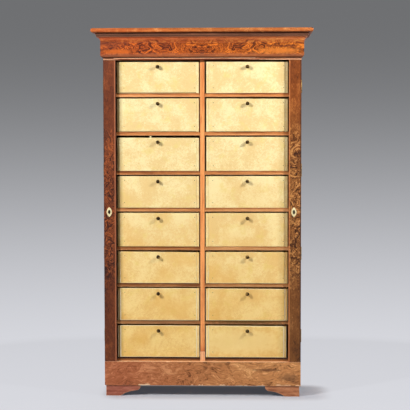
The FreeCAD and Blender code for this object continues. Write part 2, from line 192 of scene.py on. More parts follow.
def edge_profile(thickness, ease, margin, steps):
    """Inset, height and wear of each ring of a board, from one face to the other.

    A quarter circle of radius ease rounds each edge: inset = ease (1 - sin t) and
    height = ease (1 - cos t) for t from 0 to a right angle.
    """
    turn = np.linspace(0, math.pi / 2, steps)
    low = np.stack([ease * (1 - np.sin(turn)), ease * (1 - np.cos(turn)), np.ones(steps)], axis=1)
    high = (low * [1, -1, 1] + [0, thickness, 0])[::-1]
    between = [[0, margin, 0], [0, thickness - margin, 0]] if thickness > 2.5 * margin else []
    return np.concatenate([[[margin, 0, 0]], low, np.reshape(between, (-1, 3)), high,
                           [[margin, thickness, 0]]])


def board(outline, axes, origin, thickness, ease=0.8 * MM, margin=4 * MM, grain=0, seed=0,
          square=None, steps=4):
    """A board: an outline carried through its thickness, with every edge eased.

    axes are the directions of the outline's two coordinates and of the thickness, a right-handed
    set. The point of ring k and corner n is origin + (outline - inset * mitre) + height * third.
    grain says which of X, Y and Z the grain runs along. square, one of the outline's coordinates
    and its value, names an edge that is left square.
    """
    outline = np.asarray(outline, float)
    ahead = np.roll(outline, -1, axis=0)
    if np.sum(outline[:, 0] * ahead[:, 1] - ahead[:, 0] * outline[:, 1]) < 0:
        outline = outline[::-1]
    after = normals(np.roll(outline, -1, axis=0) - outline)
    outward = mitres(np.roll(after, 1, axis=0), after)
    if square:
        outward[np.abs(outline[:, square[0]] - square[1]) < 1e-6, square[0]] *= 0.08
    profile = edge_profile(thickness, ease, margin, steps)
    flat = outline[None] - profile[:, :1, None] * outward[None]
    u, v, w = np.array(axes, float)
    points = (origin + flat[..., :1] * u + flat[..., 1:] * v
              + profile[:, 1][:, None, None] * w).reshape(-1, 3)
    chance = np.random.default_rng(seed)
    return new_part(points, ring_faces(len(profile), len(outline)),
                    np.repeat(profile[:, 2], len(outline)),
                    points[:, [grain, (grain + 1) % 3, (grain + 2) % 3]] + chance.uniform(0, 3, 3),
                    chance.uniform(-1, 1))


def facing(axes, outline, low, high, **looks):
    """Board whose outline is drawn on the first two axes, between two levels of the third."""
    third = np.array(axes[2])
    origin = np.abs(third) * (low if third.sum() > 0 else high)
    return board(outline, axes, origin, high - low, **looks)


# boards drawn from above (X, Y), from the front (X, Z) and from the right side (Y, Z)
plan_board = partial(facing, ([1, 0, 0], [0, 1, 0], [0, 0, 1]))
front_board = partial(facing, ([1, 0, 0], [0, 0, 1], [0, -1, 0]))
flank_board = partial(facing, ([0, 1, 0], [0, 0, 1], [1, 0, 0]))
print("a board 20 mm thick has", len(edge_profile(0.02, MM, 4 * MM, 4)), "rings")

# %% [markdown]
# ## Turned parts
#
# Knobs, pins and screw heads are made on a lathe, and a lathe is what the Screw modifier and Spin
# imitate. Here the same thing is one line of numpy: each radius of a profile is carried round an
# axis by the cosine and sine of an angle. A part made so needs no modifier, closes at both ends
# and can point in any direction.

# %% Turned parts


def turned(profile, centre, out, count, grain_seed=0):
    """A turned part: a profile of (radius, distance) carried round an axis, closed at both ends.

    The point is centre + distance * out + radius * (cos a * side + sin a * up).
    """
    out = np.asarray(out, float)
    side = unit(np.cross([0, 0, 1] if abs(out[2]) < 0.9 else [1, 0, 0], out))
    angle = np.arange(count) * 2 * math.pi / count
    ring = np.cos(angle)[:, None] * side + np.sin(angle)[:, None] * np.cross(out, side)
    points = (centre + profile[:, None, 1:] * out + profile[:, None, :1] * ring).reshape(-1, 3)
    shift = np.random.default_rng(grain_seed).uniform(0, 3, 3)
    return new_part(points, ring_faces(len(profile), count), grain=points + shift)


disc = turned(np.array([(0.1, 0), (1, 0), (1, 1), (0.1, 1)]), (0, 0, 0), (0, 0, 1), 8)
print("a turned disc has", len(disc["points"]), "points and", len(disc["faces"]), "faces")

# %% [markdown]
# ## From numpy to a piece
#
# So far a part is only arrays. One function joins the parts of a piece into one mesh and hands
# over its attributes with foreach_set, which copies a whole array at once. Shading is smooth, with
# edges marked sharp above an angle, so a rounded edge looks round and a corner stays crisp.
#
# Then the piece is given the body it moves with and its finish, and the node of the frame that
# it replaces is hidden.

# %% Making a piece


def new_object(name, data):
    """A new object in the scene, unturned at the origin."""
    made = bpy.data.objects.new(name, data)
    bpy.context.scene.collection.objects.link(made)
    return made


def smooth_mesh(name, points, faces):
    """An object with a smoothly shaded mesh."""
    mesh = bpy.data.meshes.new(name)
    mesh.from_pydata(points, [], faces)
    mesh.shade_smooth()
    return new_object(name, mesh)


def make_piece(name, parts, material, node=None, body="carcase", smooth_angle=40):
    """Join parts into one mesh with a finish, attach it to a body and hide the node it replaces."""
    starts = np.cumsum([0] + [len(part["points"]) for part in parts])
    faces = [[index + start for index in face]
             for part, start in zip(parts, starts) for face in part["faces"]]
    piece = smooth_mesh(name, np.concatenate([part["points"] for part in parts]), faces)
    mesh = piece.data
    for key, kind, field in (("wear", "FLOAT", "value"), ("tone", "FLOAT", "value"),
                             ("grain", "FLOAT_VECTOR", "vector")):
        values = np.concatenate([part[key] for part in parts]).astype(np.float32)
        mesh.attributes.new(key, kind, "POINT").data.foreach_set(field, values.reshape(-1))
    mesh.materials.append(material)
    mesh.set_sharp_from_angle(angle=math.radians(smooth_angle))
    mesh.validate()
    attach(piece, body)
    if node:
        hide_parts(node)


print("helpers ready")

# %% [markdown]
# ## Node helpers
#
# A material is a tree of nodes, and written out in full each node takes four lines. Here the
# output of a node is wrapped so that sums can be written with the usual signs, and every sum adds
# the nodes that work it out. All other nodes come from one function that fills a node's inputs.
#
# Colours are given as they look on screen, with red, green and blue from 0 to 255.

# %% Adding nodes
WHITE = (255, 255, 255)


def srgb(red, green, blue):
    """A colour given as 0 to 255 on screen, as the linear values that shaders use."""
    screen = np.array([red, green, blue]) / 255
    linear = np.where(screen <= 0.04045, screen / 12.92, ((screen + 0.055) / 1.055) ** 2.4)
    return (*linear.tolist(), 1.0)


class Wire:
    """The output of a node; sums made with it become nodes that are linked to it."""

    def __init__(self, socket):
        self.socket = socket

    def __getitem__(self, name):
        """Another output of the same node."""
        return Wire(self.socket.node.outputs[name])

    def step(self, operation, *others, clamp=False):
        """One arithmetic step, done on vectors if this is a vector or a colour."""
        if self.socket.type == "VALUE":
            return add("Math", dict(enumerate((self, *others))), operation=operation,
                       use_clamp=clamp)
        others = [v if isinstance(v, Wire) else tuple(np.ones(3) * v) for v in others]
        return add("VectorMath", dict(enumerate((self, *others))), operation=operation)

    __add__ = partialmethod(step, "ADD")
    __sub__ = partialmethod(step, "SUBTRACT")
    __mul__ = partialmethod(step, "MULTIPLY")


def add(kind, inputs, tree=None, **settings):
    """Add a shader node to a tree, or to the tree that its inputs come from.

    Each input is a wire to link or a value. Returns the node's first output.
    """
    tree = tree or next(v.socket.id_data for v in inputs.values() if isinstance(v, Wire))
    made = tree.nodes.new("ShaderNode" + kind)
    for key, value in settings.items():
        setattr(made, key, value)
    for key, value in inputs.items():
        if isinstance(value, Wire):
            tree.links.new(value.socket, made.inputs[key])
        else:
            made.inputs[key].default_value = value
    return Wire(made.outputs[0])


def attribute(tree, name, output="Fac"):
    """A value or vector that rides on the points of the mesh."""
    return add("Attribute", {}, tree, attribute_name=name)[output]


def along(place, axis):
    """Coordinate of a place along X (0), Y (1) or Z (2)."""
    return add("SeparateXYZ", {0: place})[axis]


def fade(value, low, high, to_low=0.0, to_high=1.0):
    """A smooth step from to_low, at low, to to_high, at high."""
    return add("MapRange", {"Value": value, "From Min": low, "From Max": high, "To Min": to_low,
                            "To Max": to_high}, interpolation_type="SMOOTHSTEP")["Result"]


def mix(factor, first, second, blend="MIX"):
    """Two colours, each a wire or a screen colour, mixed by a factor."""
    first, second = (c if isinstance(c, Wire) else srgb(*c) for c in (first, second))
    return add("Mix", {0: factor, 6: first, 7: second}, data_type="RGBA", blend_type=blend)[2]


def tinted(colour, hue, factor=1.0):
    """A colour multiplied by another, as far as the factor goes."""
    return mix(factor, colour, hue, "MULTIPLY")


def noise(vector, scale, detail=3.0, roughness=0.5, distortion=0.0, output="Fac"):
    """Cloudy noise between 0 and 1."""
    return add("TexNoise", {"Vector": vector, "Scale": scale, "Detail": detail,
                            "Roughness": roughness, "Distortion": distortion})[output]


def distance_from(place, centre, size):
    """Distance of a place from a centre, measured in sizes along each axis."""
    return (place - centre).step("DIVIDE", size).step("LENGTH")["Value"]


print("mid grey 188 is", round(srgb(188, 188, 188)[0], 3), "linear")

# %% [markdown]
# ## Node groups
#
# An effect that several materials share, such as grain or wear, is kept in a node group with named
# inputs, so a change to it reaches all of them. In Blender the sockets of a group are made on its
# interface. Here their kinds are found from the size of the default values.

# %% Node groups
SOCKETS = {1: "Float", 3: "Vector", 4: "Color", "VALUE": "Float", "VECTOR": "Vector",
           "RGBA": "Color"}


def new_group(name, defaults, recipe):
    """A node group: defaults names its inputs, the recipe turns them into a dict of outputs."""
    tree = bpy.data.node_groups.new(name, "ShaderNodeTree")
    new_socket = tree.interface.new_socket
    for label, default in defaults.items():
        kind = "NodeSocket" + SOCKETS[np.size(default)]
        new_socket(label, in_out="INPUT", socket_type=kind).default_value = default
    made = recipe(Wire(tree.nodes.new("NodeGroupInput").outputs[0]))
    for label, wire in made.items():
        new_socket(label, in_out="OUTPUT", socket_type="NodeSocket" + SOCKETS[wire.socket.type])
    leave = tree.nodes.new("NodeGroupOutput")
    for label, wire in made.items():
        tree.links.new(wire.socket, leave.inputs[label])
    print(name, "has", len(tree.nodes), "nodes")
    return tree


print("kinds of sockets:", sorted(set(SOCKETS.values())))

# %% [markdown]
# ## Wood
#
# Mahogany shows long soft streaks, short dark pores that run with them, and a figure that swells
# across them. All three are noise stretched along the grain by different amounts. The group takes
# three colours, so the same wood serves for the bright slab, the dark stiles and the pale block.
#
# The cornice, the stiles and the plinth are veneered with wood cut where a trunk forks or grows
# burrs. Its rings curl instead of running straight. The rings are the contour lines of a noise,
# drawn as the sine of a multiple of it, and the noise itself is pushed about by a second one. An
# image of veneer would look as real, but would not reach round the edges and the mitres.

# %% The wood groups


def three_shades(given, level, *steps):
    """The group's dark, middle and light colours, blended between four levels."""
    colour = mix(fade(level, *steps[:2]), given["Dark"], given["Middle"])
    return mix(fade(level, *steps[2:]), colour, given["Light"])


def grain_recipe(given):
    """Colour and height of planed wood, from coordinates whose first one runs along the grain."""
    drift = (noise(given["Vector"], 2.6, 2.0, output="Color") - 0.5) * 0.03
    warped = given["Vector"] + drift
    streak = noise(warped * (3.2, 75, 75), 1.0, 5.0, 0.62)
    fine = noise(warped * (14, 520, 520), 1.0, 2.0)
    swell = noise(warped * (11, 26, 26), 1.0, 3.0, 0.5, 1.6)
    pore = fade(noise(warped * (85, 1500, 1500), 1.0, 1.0), 0.60, 0.72) * given["Pores"]
    level = streak + (fine - 0.5) * 0.35 + (swell - 0.5) * given["Figure"] + given["Tone"] * 0.07
    colour = three_shades(given, level, 0.22, 0.52, 0.48, 0.78)
    return {"Color": tinted(colour, (120, 95, 85), pore), "Height": pore * -0.6 + level * 0.4}


def curl_recipe(given):
    """Colour and height of burr veneer: contour lines on a slow drift of light and dark."""
    scaled = given["Vector"] * given["Size"]
    push = (noise(scaled, 11.0, 2.0, output="Color") - 0.5) * (given["Curl"] * 0.12)
    swirled = scaled + push
    field = noise(swirled * (36, 62, 62), 1.0, 3.0, 0.5, 1.2)
    rings = (field * 44.0).step("SINE")
    threads = noise(swirled * (60, 420, 420), 1.0, 2.0, 0.5, 0.6)
    patches = noise(scaled * (9, 15, 15), 1.0, 2.0)
    level = (rings * 0.10 + field - 0.5) * given["Curl"] + 0.5
    level = level + (threads - 0.5) * 0.5 + (patches - 0.5) * 0.45
    return {"Color": three_shades(given, level, 0.26, 0.50, 0.50, 0.74), "Height": level * 0.5}


wood_inputs = {"Vector": (0, 0, 0)} | {shade: srgb(*WHITE) for shade in ("Dark", "Middle", "Light")}
WOOD_GRAIN = new_group("wood grain", wood_inputs | {"Figure": 0.5, "Pores": 0.5, "Tone": 0.0},
                       grain_recipe)
CURLED_VENEER = new_group("curled veneer", wood_inputs | {"Size": 1.0, "Curl": 1.0}, curl_recipe)

# %% [markdown]
# ## Wear and dirt
#
# Two centuries of hands take the polish off the edges first, in patches. New pieces bring it as
# their `wear` attribute. A node of the frame has none, and there one group measures how near a
# point is to the edges of its box. The other group turns the smooth mask into a broken one with
# noise.

# %% The wear groups
WORN_WIDTH = 4 * MM


def wear_recipe(given):
    """A broken mask, since the smooth mask must beat noise to show, and clouds of dirt."""
    place = given["Vector"]
    rough = noise(place, 260.0, 3.0, 0.6) * 0.45 + noise(place, 38.0, 4.0, 0.6) * 0.75
    reach = given["Mask"] * (given["Amount"] + 0.45)
    return {"Worn": fade(reach - rough, -0.12, 0.2),
            "Dirt": fade(noise(place, 7.0, 3.0, 0.55), 0.42, 0.75)}


def box_edge_recipe(given):
    """1 on the edges of a box, 0 further in than the worn width.

    The distance to an edge is the middle one of the three distances to the nearest faces.
    """
    from_low = given["Vector"] - given["Low"]
    nearest = from_low.step("MINIMUM", given["High"] - given["Vector"])
    x, y, z = (along(nearest, axis) for axis in range(3))
    middle = x.step("MINIMUM", y).step("MAXIMUM", x.step("MAXIMUM", y).step("MINIMUM", z))
    return {"Mask": (middle * (-1 / WORN_WIDTH)).step("ADD", 1.0, clamp=True)}


WORN_EDGE = new_group("worn edge", {"Vector": (0, 0, 0), "Mask": 0.0, "Amount": 0.5}, wear_recipe)
BOX_EDGE = new_group("box edge", {"Vector": (0, 0, 0), "Low": (0, 0, 0), "High": (1, 1, 1)},
                     box_edge_recipe)

# %% [markdown]
# ## Changing a colour from place to place
#
# What makes one piece differ from the next is a tint that changes from left to right, a dark
# patch, or a strip of other wood. Each is a function that takes a place and a colour and gives a
# colour back, so a material can have any number of them, one after the other.

# %% Tints and patches


def new_material(name):
    """An empty node material, its tree, and the place of a point on the object as it was made."""
    material = bpy.data.materials.new(name)
    material.use_nodes = True
    tree = material.node_tree
    tree.nodes.clear()
    return material, tree, add("TexCoord", {}, tree)["Object"]


def show(material, shader):
    """Link a shader to the output of a material."""
    output = material.node_tree.nodes.new("ShaderNodeOutputMaterial")
    material.node_tree.links.new(shader.socket, output.inputs["Surface"])
    return material


def finish_surface(material, colour, height, roughness, bump, coat=0.0, strength=0.5, metallic=0.0):
    """Principled shader with a bump from the height."""
    normal = add("Bump", {"Height": height, "Distance": bump, "Strength": strength})
    return show(material, add("BsdfPrincipled", {
        "Base Color": colour, "Roughness": roughness, "Normal": normal, "Metallic": metallic,
        "Coat Weight": coat, "Coat Roughness": 0.25, "Specular IOR Level": 0.25}))


def tint(place, colour, axis, low, high, low_tint, high_tint=WHITE):
    """Tint that changes along X (0), Y (1) or Z (2) from low to high."""
    return tinted(colour, mix(fade(along(place, axis), low, high), low_tint, high_tint))


def patch(place, colour, centre, size, colour_to, strength=0.7):
    """Blotch with a ragged edge: the distance from its centre, in sizes, plus noise."""
    ragged = noise(place, 60.0, 4.0, 0.6) * 1.4 + distance_from(place, centre, size)
    return mix(fade(ragged, 1.1, 1.9, 1.0, 0.0) * strength, colour, colour_to)


def strip(place, colour, x_from, x_to, colour_to, strength, soft=0.4 * MM):
    """Strip of another wood between two distances from the middle of the cabinet."""
    across = along(place, 0).step("ABSOLUTE")
    inside = (fade(across, x_from - soft, x_from + soft)
              * fade(across, x_to - soft, x_to + soft, 1.0, 0.0))
    return mix(inside * strength, colour, colour_to)


print("changes to a colour:", ", ".join(change.__name__ for change in (tint, patch, strip)))

# %% [markdown]
# ## The wood recipe
#
# Polished timber could have a material of its own for every board, but then a better idea about
# wear would have to be put into all of them. One function builds them all: the pattern, the
# changes to its colour, the dirt, the shade painted into grooves, the worn edges, and a thin coat
# of polish over a shader with a slight bump.

# %% The wood recipe


def wood(name, dark, middle, light, turned_to=None, worn=None, wear=0.5, figure=0.5, pores=0.5,
         curl=None, box_node=None, gloss=0.45, coat=0.06, dirt=0.25, extras=()):
    """Polished wood with worn edges, and shade painted dark into grooves and gaps.

    The pattern follows the piece's own grain, or the X or Z axis if turned_to names it. curl is
    size, strength and, if the figure has limits, its lowest and highest level and how softly it
    ends there. box_node gives the box whose edges wear where the mesh has no wear attribute. A
    wear attribute below 0 paints shade: a near black line in a groove, a gap or under an overhang.
    """
    material, tree, solid = new_material(name)
    place = solid if turned_to else attribute(tree, "grain", "Vector")
    if turned_to == "z":
        place = add("Mapping", {"Vector": solid, "Rotation": (0, math.pi / 2, 0)})
    given = {"Vector": place, "Dark": srgb(*dark), "Middle": srgb(*middle), "Light": srgb(*light)}
    if curl:
        size, strength, *limits = curl
        if limits:
            low, high, soft = limits
            level = along(solid, 2)
            rising = fade(level, low - soft, low + soft, 0.25, strength)
            strength = fade(level, high - soft, high + soft, rising, 0.25)
        timber = add("Group", given | {"Size": size, "Curl": strength}, node_tree=CURLED_VENEER)
    else:
        timber = add("Group", given | {"Figure": figure, "Pores": pores,
                                       "Tone": attribute(tree, "tone")}, node_tree=WOOD_GRAIN)
    colour = timber["Color"]
    for change, *numbers in extras:
        colour = change(solid, colour, *numbers)
    if box_node:
        low, high = corners(box_node)
        mask = add("Group", {"Vector": solid, "Low": low, "High": high}, node_tree=BOX_EDGE)
    else:
        mask = attribute(tree, "wear")
        # painted shade: a wear below 0 darkens the colour towards near black
        colour = mix(mask.step("MULTIPLY", -0.9, clamp=True), colour, (30, 16, 10))
    age = add("Group", {"Vector": solid, "Mask": mask, "Amount": wear}, node_tree=WORN_EDGE)
    colour = tinted(colour, (205, 190, 180), age["Dirt"] * dirt)
    colour = mix(age["Worn"], colour, worn or light)
    roughness = age["Worn"] * 0.18 + age["Dirt"] * 0.12 + gloss
    height = age["Worn"] * -0.5 + timber["Height"]
    return finish_surface(material, colour, height, roughness, 0.6 * MM, coat)


print("wood recipe ready")

# %% [markdown]
# ## The cabinet's woods
#
# The slab is bright mahogany, the shelves and the divider are plainer, the cornice has burr veneer
# and the back is pine. Each is the same recipe with its own dark, middle and light colour, and
# with a list of changes: a function and its numbers.

# %% Wood materials
FRIEZE_LEVEL = CORNICE_BASE + 45 * MM
SLAB_BASE = CORNICE_BASE + 114 * MM
burr_curl = (1.0, 1.5, CORNICE_BASE + 17 * MM, CORNICE_BASE + 80 * MM, 10 * MM)
burr_extras = (
    (tint, 0, -HALF_WIDTH, HALF_WIDTH, (248, 214, 206), (255, 255, 250)),
    (patch, (-0.43, STILE_FRONT, FRIEZE_LEVEL + 17 * MM), (0.09, 0.05, 0.024), (112, 48, 24), 0.6),
    (patch, (-0.38, STILE_FRONT, FRIEZE_LEVEL - 17 * MM), (0.09, 0.05, 0.015), (220, 106, 26)),
    (patch, (0.37, STILE_FRONT, FRIEZE_LEVEL + 8 * MM), (0.10, 0.05, 0.007), (96, 40, 16)),
    (patch, (0.35, STILE_FRONT, FRIEZE_LEVEL - 14 * MM), (0.13, 0.05, 0.017), (226, 130, 46)),
    (patch, (0, STILE_FRONT, CORNICE_BASE + 4 * MM), (3.0, 0.1, 0.018), (178, 116, 80), 0.4),
    # painted shadow line along the foot of the half round, above the thin rail
    (tint, 2, CORNICE_BASE + 2 * MM, CORNICE_BASE + 8 * MM, (150, 136, 116)),
)
# painted shade on the lower part of the thin rail
rail_light_and_shade = [(tint, 2, CORNICE_BASE - 4.2 * MM, CORNICE_BASE - 2.6 * MM, (158, 116, 84))]
# near both ends: painted shade on top of the rail and a painted highlight lower down
for x, wide in ((0.38, 0.16), (-0.43, 0.06)):
    for drop, tall, colour, strength in ((0, 3.6, (104, 64, 40), 0.9),
                                         (7.5, 3, (250, 190, 146), 0.8)):
        rail_light_and_shade.append((patch, (x, STILE_FRONT, CORNICE_BASE - drop * MM),
                            (wide, 0.1, tall * MM), colour, strength))
PINE = ((120, 78, 45), (166, 118, 74), (196, 150, 102))
pine_looks = {"figure": 0.35, "pores": 0.2, "coat": 0.0, "gloss": 0.7, "dirt": 0.8}
WOODS = {
    "slab": wood(
        "polished slab", (173, 80, 31), (226, 119, 49), (252, 147, 68), wear=0.05, figure=0.25,
        pores=0.4, worn=(240, 164, 98), gloss=0.62, coat=0.02,
        extras=((tint, 0, -HALF_WIDTH, 0.05, WHITE, (216, 228, 244)),
                # painted shade along the slab's lower rounded edge
                (tint, 2, SLAB_BASE, SLAB_BASE + 6 * MM, (182, 174, 168)))),
    "shelf": wood(
        "shelf edge", (150, 82, 38), (214, 134, 74), (242, 168, 106), wear=0.3, figure=0.3,
        pores=0.45, worn=(236, 168, 114),
        # darker towards the floor: painted shade, as the light falls off downward
        extras=((tint, 2, 0.3, 1.45, (212, 226, 228)),
                (patch, (0.2, CARCASE_FRONT, 0.37), (0.24, 0.1, 0.05), (104, 72, 30), 0.95),
                (patch, (-0.2, CARCASE_FRONT, 0.37), (0.24, 0.1, 0.05), (154, 108, 70), 0.6))),
    "divider": wood("divider", (216, 124, 66), (255, 168, 98), (255, 188, 122), wear=0.2,
                    figure=0.3, pores=0.35, worn=(255, 192, 134),
                    extras=((tint, 2, 0.185, 0.25, (206, 150, 138)),)),
    "block": wood("pieced-in block", (218, 145, 96), (252, 184, 132), (255, 204, 158), wear=0.3,
                  figure=0.2, pores=0.3),
    "rail": wood("thin rail", (140, 74, 44), (200, 132, 92), (232, 172, 134), wear=0.7, figure=0.2,
                 worn=(240, 184, 142), extras=rail_light_and_shade),
    "foot": wood("bracket foot", (128, 70, 46), (190, 124, 84), (224, 160, 114), wear=0.45,
                 worn=(206, 146, 108),
                 extras=((tint, 0, -HALF_WIDTH, HALF_WIDTH, (212, 184, 208)),)),
    "frieze": wood("burr veneer", (76, 27, 2), (150, 70, 13), (228, 128, 38), curl=burr_curl,
                   wear=0.2, gloss=0.55, coat=0.02, worn=(150, 96, 66), extras=burr_extras),
    "cove": wood(
        "cove veneer", (126, 64, 34), (221, 126, 69), (255, 178, 101), curl=burr_curl, wear=0.25,
        worn=(190, 128, 96),
        extras=burr_extras[:2] + (
            (tint, 2, CORNICE_BASE + 78 * MM, CORNICE_BASE + 91 * MM, (190, 170, 134)),)),
    # the neck's dark colours are partly its own wood and partly painted shade under the slab
    "neck": wood("neck", (72, 42, 28), (108, 65, 44), (138, 88, 62), wear=0.3, figure=0.3,
                 pores=0.4, worn=(150, 102, 76)),
    "plinth": wood(
        "plinth veneer", (118, 70, 36), (204, 138, 82), (246, 188, 124), curl=(0.42, 0.6),
        worn=(226, 172, 132),
        extras=((tint, 0, -HALF_WIDTH, 0.3, (214, 180, 188)),
                (patch, (0.30, STILE_FRONT, 0.125), (0.07, 0.1, 0.008), (84, 44, 26)),
                (patch, (0.40, STILE_FRONT, 0.09), (0.05, 0.1, 0.02), (130, 88, 56), 0.6))),
    "core": wood("bare core", (214, 154, 106), (250, 200, 150), (255, 220, 176), wear=0.2,
                 figure=0.2, coat=0.0, gloss=0.75),
    "pine": wood("old pine", *PINE, wear=0.2, **pine_looks),
}
for node in ("drawer_guides", "carcase_top"):
    WOODS[node] = wood("pine of " + node, *PINE, turned_to="x", box_node=node, wear=0.1,
                       **pine_looks)
print(len(WOODS), "woods so far")

# %% [markdown]
# The stiles, posts and side panels stand upright, so their pattern is turned by a quarter about Y
# and the grain runs along Z. A lipping of paler wood, a dark line beside it and a dark outer edge,
# painted shade on the rounded arris, are strips at fixed distances from the middle of the cabinet.
# The stiles are a little darker towards the floor, also painted shade. The two sides share one
# recipe and differ only in their numbers.

# %% Stiles, posts and side panels
# stile: three colours, colour and inner rim of its lipping, outer rim painted dark as shade,
# tint of its upper end
STILE_LOOKS = {
    "left": (((50, 18, 9), (109, 51, 24), (168, 88, 44)), (184, 112, 74), 2.0 * MM, 1.5 * MM,
             WHITE),
    "right": (((56, 26, 9), (133, 77, 33), (206, 143, 80)), (204, 124, 72), 0.0, 5.5 * MM,
              (244, 214, 190)),
}
# the right post is lighter as painted light: its face is lit in the gap beside the boxes
POST_COLOURS = {"left": ((60, 30, 18), (104, 58, 34), (140, 84, 50)),
                "right": ((170, 104, 60), (226, 156, 98), (250, 190, 130))}
for side, (colours, lipping, inner_rim, outer_rim, top_tint) in STILE_LOOKS.items():
    lip = STILE_INNER + inner_rim
    WOODS["stile_" + side] = wood(
        "stile veneer " + side, *colours, turned_to="z", box_node="stile_" + side, wear=0.15,
        worn=(186, 112, 70), curl=(1.0, 1.5, 0.55, 1.2, 0.12),
        # the first tint is painted shade: a little darker towards the floor, as the light falls off
        extras=((tint, 2, 0.2, 1.0, (236, 244, 250)), (tint, 2, 1.15, 1.4, WHITE, top_tint),
                (strip, STILE_INNER, lip + 5 * MM, lipping, 0.75),
                (strip, STILE_INNER - 1 * MM, lip, (52, 30, 20), 0.8),
                # painted shade on the rounded outer arris
                (strip, HALF_WIDTH - outer_rim, HALF_WIDTH + 1 * MM, (58, 34, 22), 0.7)))
    WOODS["panel_" + side] = wood(
        "side veneer " + side, (84, 40, 24), (138, 76, 44), (178, 108, 64), turned_to="z",
        box_node="side_panel_" + side, wear=0.3, curl=(0.6, 0.6))
    WOODS["post_" + side] = wood(
        "post veneer " + side, *POST_COLOURS[side], turned_to="z", box_node="front_post_" + side,
        wear=0.3, figure=0.4)
print(len(WOODS), "wood materials")

# %% [markdown]
# ## Paper
#
# The boxes are covered with thin parchment-like paper. It is cloudy, freckled and yellowed, darker
# towards the floor, and rubbed pale along its edges. Each of these is a noise of its own scale
# that mixes in one more colour. The darkening towards the floor is partly yellowing and partly
# painted shade, and next to the stiles dust and a painted shadow of the stiles darken it. The
# pattern follows each board, as paper cut from one sheet would, and the yellowing and painted
# shade follow the height in the whole cabinet.

# %% Paper


def make_paper(name, ends):
    """Paper over thin board, yellower and darker towards the floor and rubbed pale on its edges.

    The tone attribute darkens a board: 0 as it is, -1 as brown as bare wood. Dust and a painted
    shadow of the stiles darken the boxes next to them, up to the distance ends from the middle of
    the cabinet.
    """
    material, tree, solid = new_material(name)
    place = attribute(tree, "grain", "Vector")
    clouds = noise(place, 9.0, 5.0, 0.55, 0.4)
    blotch = noise(place + (4.1, 2.3, 7.7), 24.0, 5.0, 0.6)
    fibres = noise(place, 240.0, 3.0, 0.6)
    speckle = noise(place, 95.0, 4.0, 0.65, 0.3)
    level = clouds + (fibres - 0.5) * 0.5 + (speckle - 0.5) * 0.55
    colour = mix(fade(level, 0.35, 0.68), (240, 208, 142), (252, 234, 176))
    colour = mix(fade(blotch, 0.50, 0.72, 0.0, 0.6), colour, (240, 216, 132))
    flecks = fade(noise(place, 420.0, 1.0), 0.66, 0.78) * 0.55
    colour = tinted(colour, (190, 170, 135), flecks)

    height = along(solid, 2)
    # yellower and darker towards the floor: partly yellowing, partly painted shade of falling light
    low = fade(height, 0.2, 1.25, 1.0, 0.0)
    colour = tinted(colour, (255, 236, 200), low)
    stain = fade(noise(place + (1.7, 5.2, 3.1), 7.0), 0.44, 0.66) * low
    colour = mix(stain * 0.6, colour, (236, 182, 92))
    colour = patch(solid, colour, (0.18, STILE_FRONT, 0.25), (0.27, 0.3, 0.08), (255, 226, 152),
                   0.6)
    # tone below 0 darkens a board; on side boards beside the left stile it is painted shade
    shade = attribute(tree, "tone").step("MULTIPLY", -1.0, clamp=True)
    colour = tinted(colour, (120, 84, 58), shade)
    # dust and painted shadow of the stiles on the box ends next to them
    across = along(solid, 0)
    left_end = fade(across, 7 * MM - ends, 36 * MM - ends, 0.8, 0.0)
    right_end = fade(across, ends - 60 * MM, ends - 20 * MM, 0.0, 0.22)
    stile_shadow_and_dust = left_end.step("MAXIMUM", right_end)
    colour = tinted(colour, (150, 138, 112), stile_shadow_and_dust)
    age = add("Group", {"Vector": solid, "Mask": attribute(tree, "wear"),
                        "Amount": fade(height, 0.25, 0.7, 0.6, 0.12)}, node_tree=WORN_EDGE)
    colour = mix(age["Worn"] * 0.65, colour, (252, 242, 208))
    relief = age["Worn"] * -0.4 + fibres + blotch * 0.5
    return finish_surface(material, colour, relief, clouds * 0.2 + 0.5, 0.25 * MM, 0.0, 0.4)


PAPER = make_paper("covered board", POST_INNER)
print(PAPER.name, "ready")

# %% [markdown]
# ## Metals
#
# The metals are old brass, dark on the knobs and rubbed bright on the escutcheons, and the steel
# of the locks. Tarnish grows in spots and dulls what it covers, so one noise changes the colour,
# the roughness and the metallic value together.

# %% Metals


def metal(name, clean, tarnish, amount, roughness, scale=120.0, shine=1.0, painted_shade=None):
    """Old metal: tarnish spreads from noise over the clean metal and dulls it.

    The last argument is a place and a size: near black where the distance from that place,
    measured in sizes, is less than one, as painted shade of a keyhole.
    """
    material, _, place = new_material(name)
    cloud = noise(place, scale, 4.0, 0.6)
    film = fade(cloud, 0.75 - amount * 0.6, 1.0 - amount * 0.6)
    colour = mix(film, clean, tarnish)
    if painted_shade:
        away = distance_from(place, *painted_shade)
        # painted shade of the keyhole: near black round the place
        colour = mix(fade(away, 0.75, 1.2, 0.95, 0.0), colour, (26, 22, 10))
    scratches = noise(place * (2500, 2500, 300), 1.0, 1.0)
    rough = film * 0.25 + scratches * 0.1 + roughness
    return finish_surface(material, colour, cloud * 0.5 + scratches, rough, 0.05 * MM, 0.0, 0.3,
                          film * (-0.35 * shine) + shine)


KNOB_BRASS = metal("knob brass", (150, 116, 56), (46, 32, 10), 0.75, 0.32, shine=0.5)
HINGE_BRASS = metal("hinge brass", (196, 158, 92), (96, 72, 40), 0.55, 0.38)
LOCK_STEEL = metal("lock steel", (92, 88, 82), (34, 26, 20), 0.55, 0.45, 60.0)
PIN_IRON = metal("pin iron", (120, 96, 62), (70, 50, 32), 0.6, 0.5)
print("metals ready")

# %% [markdown]
# ## Cornice
#
# A cornice is planed as a long moulding and mitred at the corners. A curve with a bevel object
# could do it, but would not keep the mitres sharp. Here the surface is its section carried along
# the path of the front and both sides. Every point is the path's corner plus the section's
# projection times the outward mitre there, so the runs meet exactly.
#
# The front is veneered with leaves from one burr, opened like a book at the middle, so the first
# grain coordinate is the distance from the centre line on both sides.

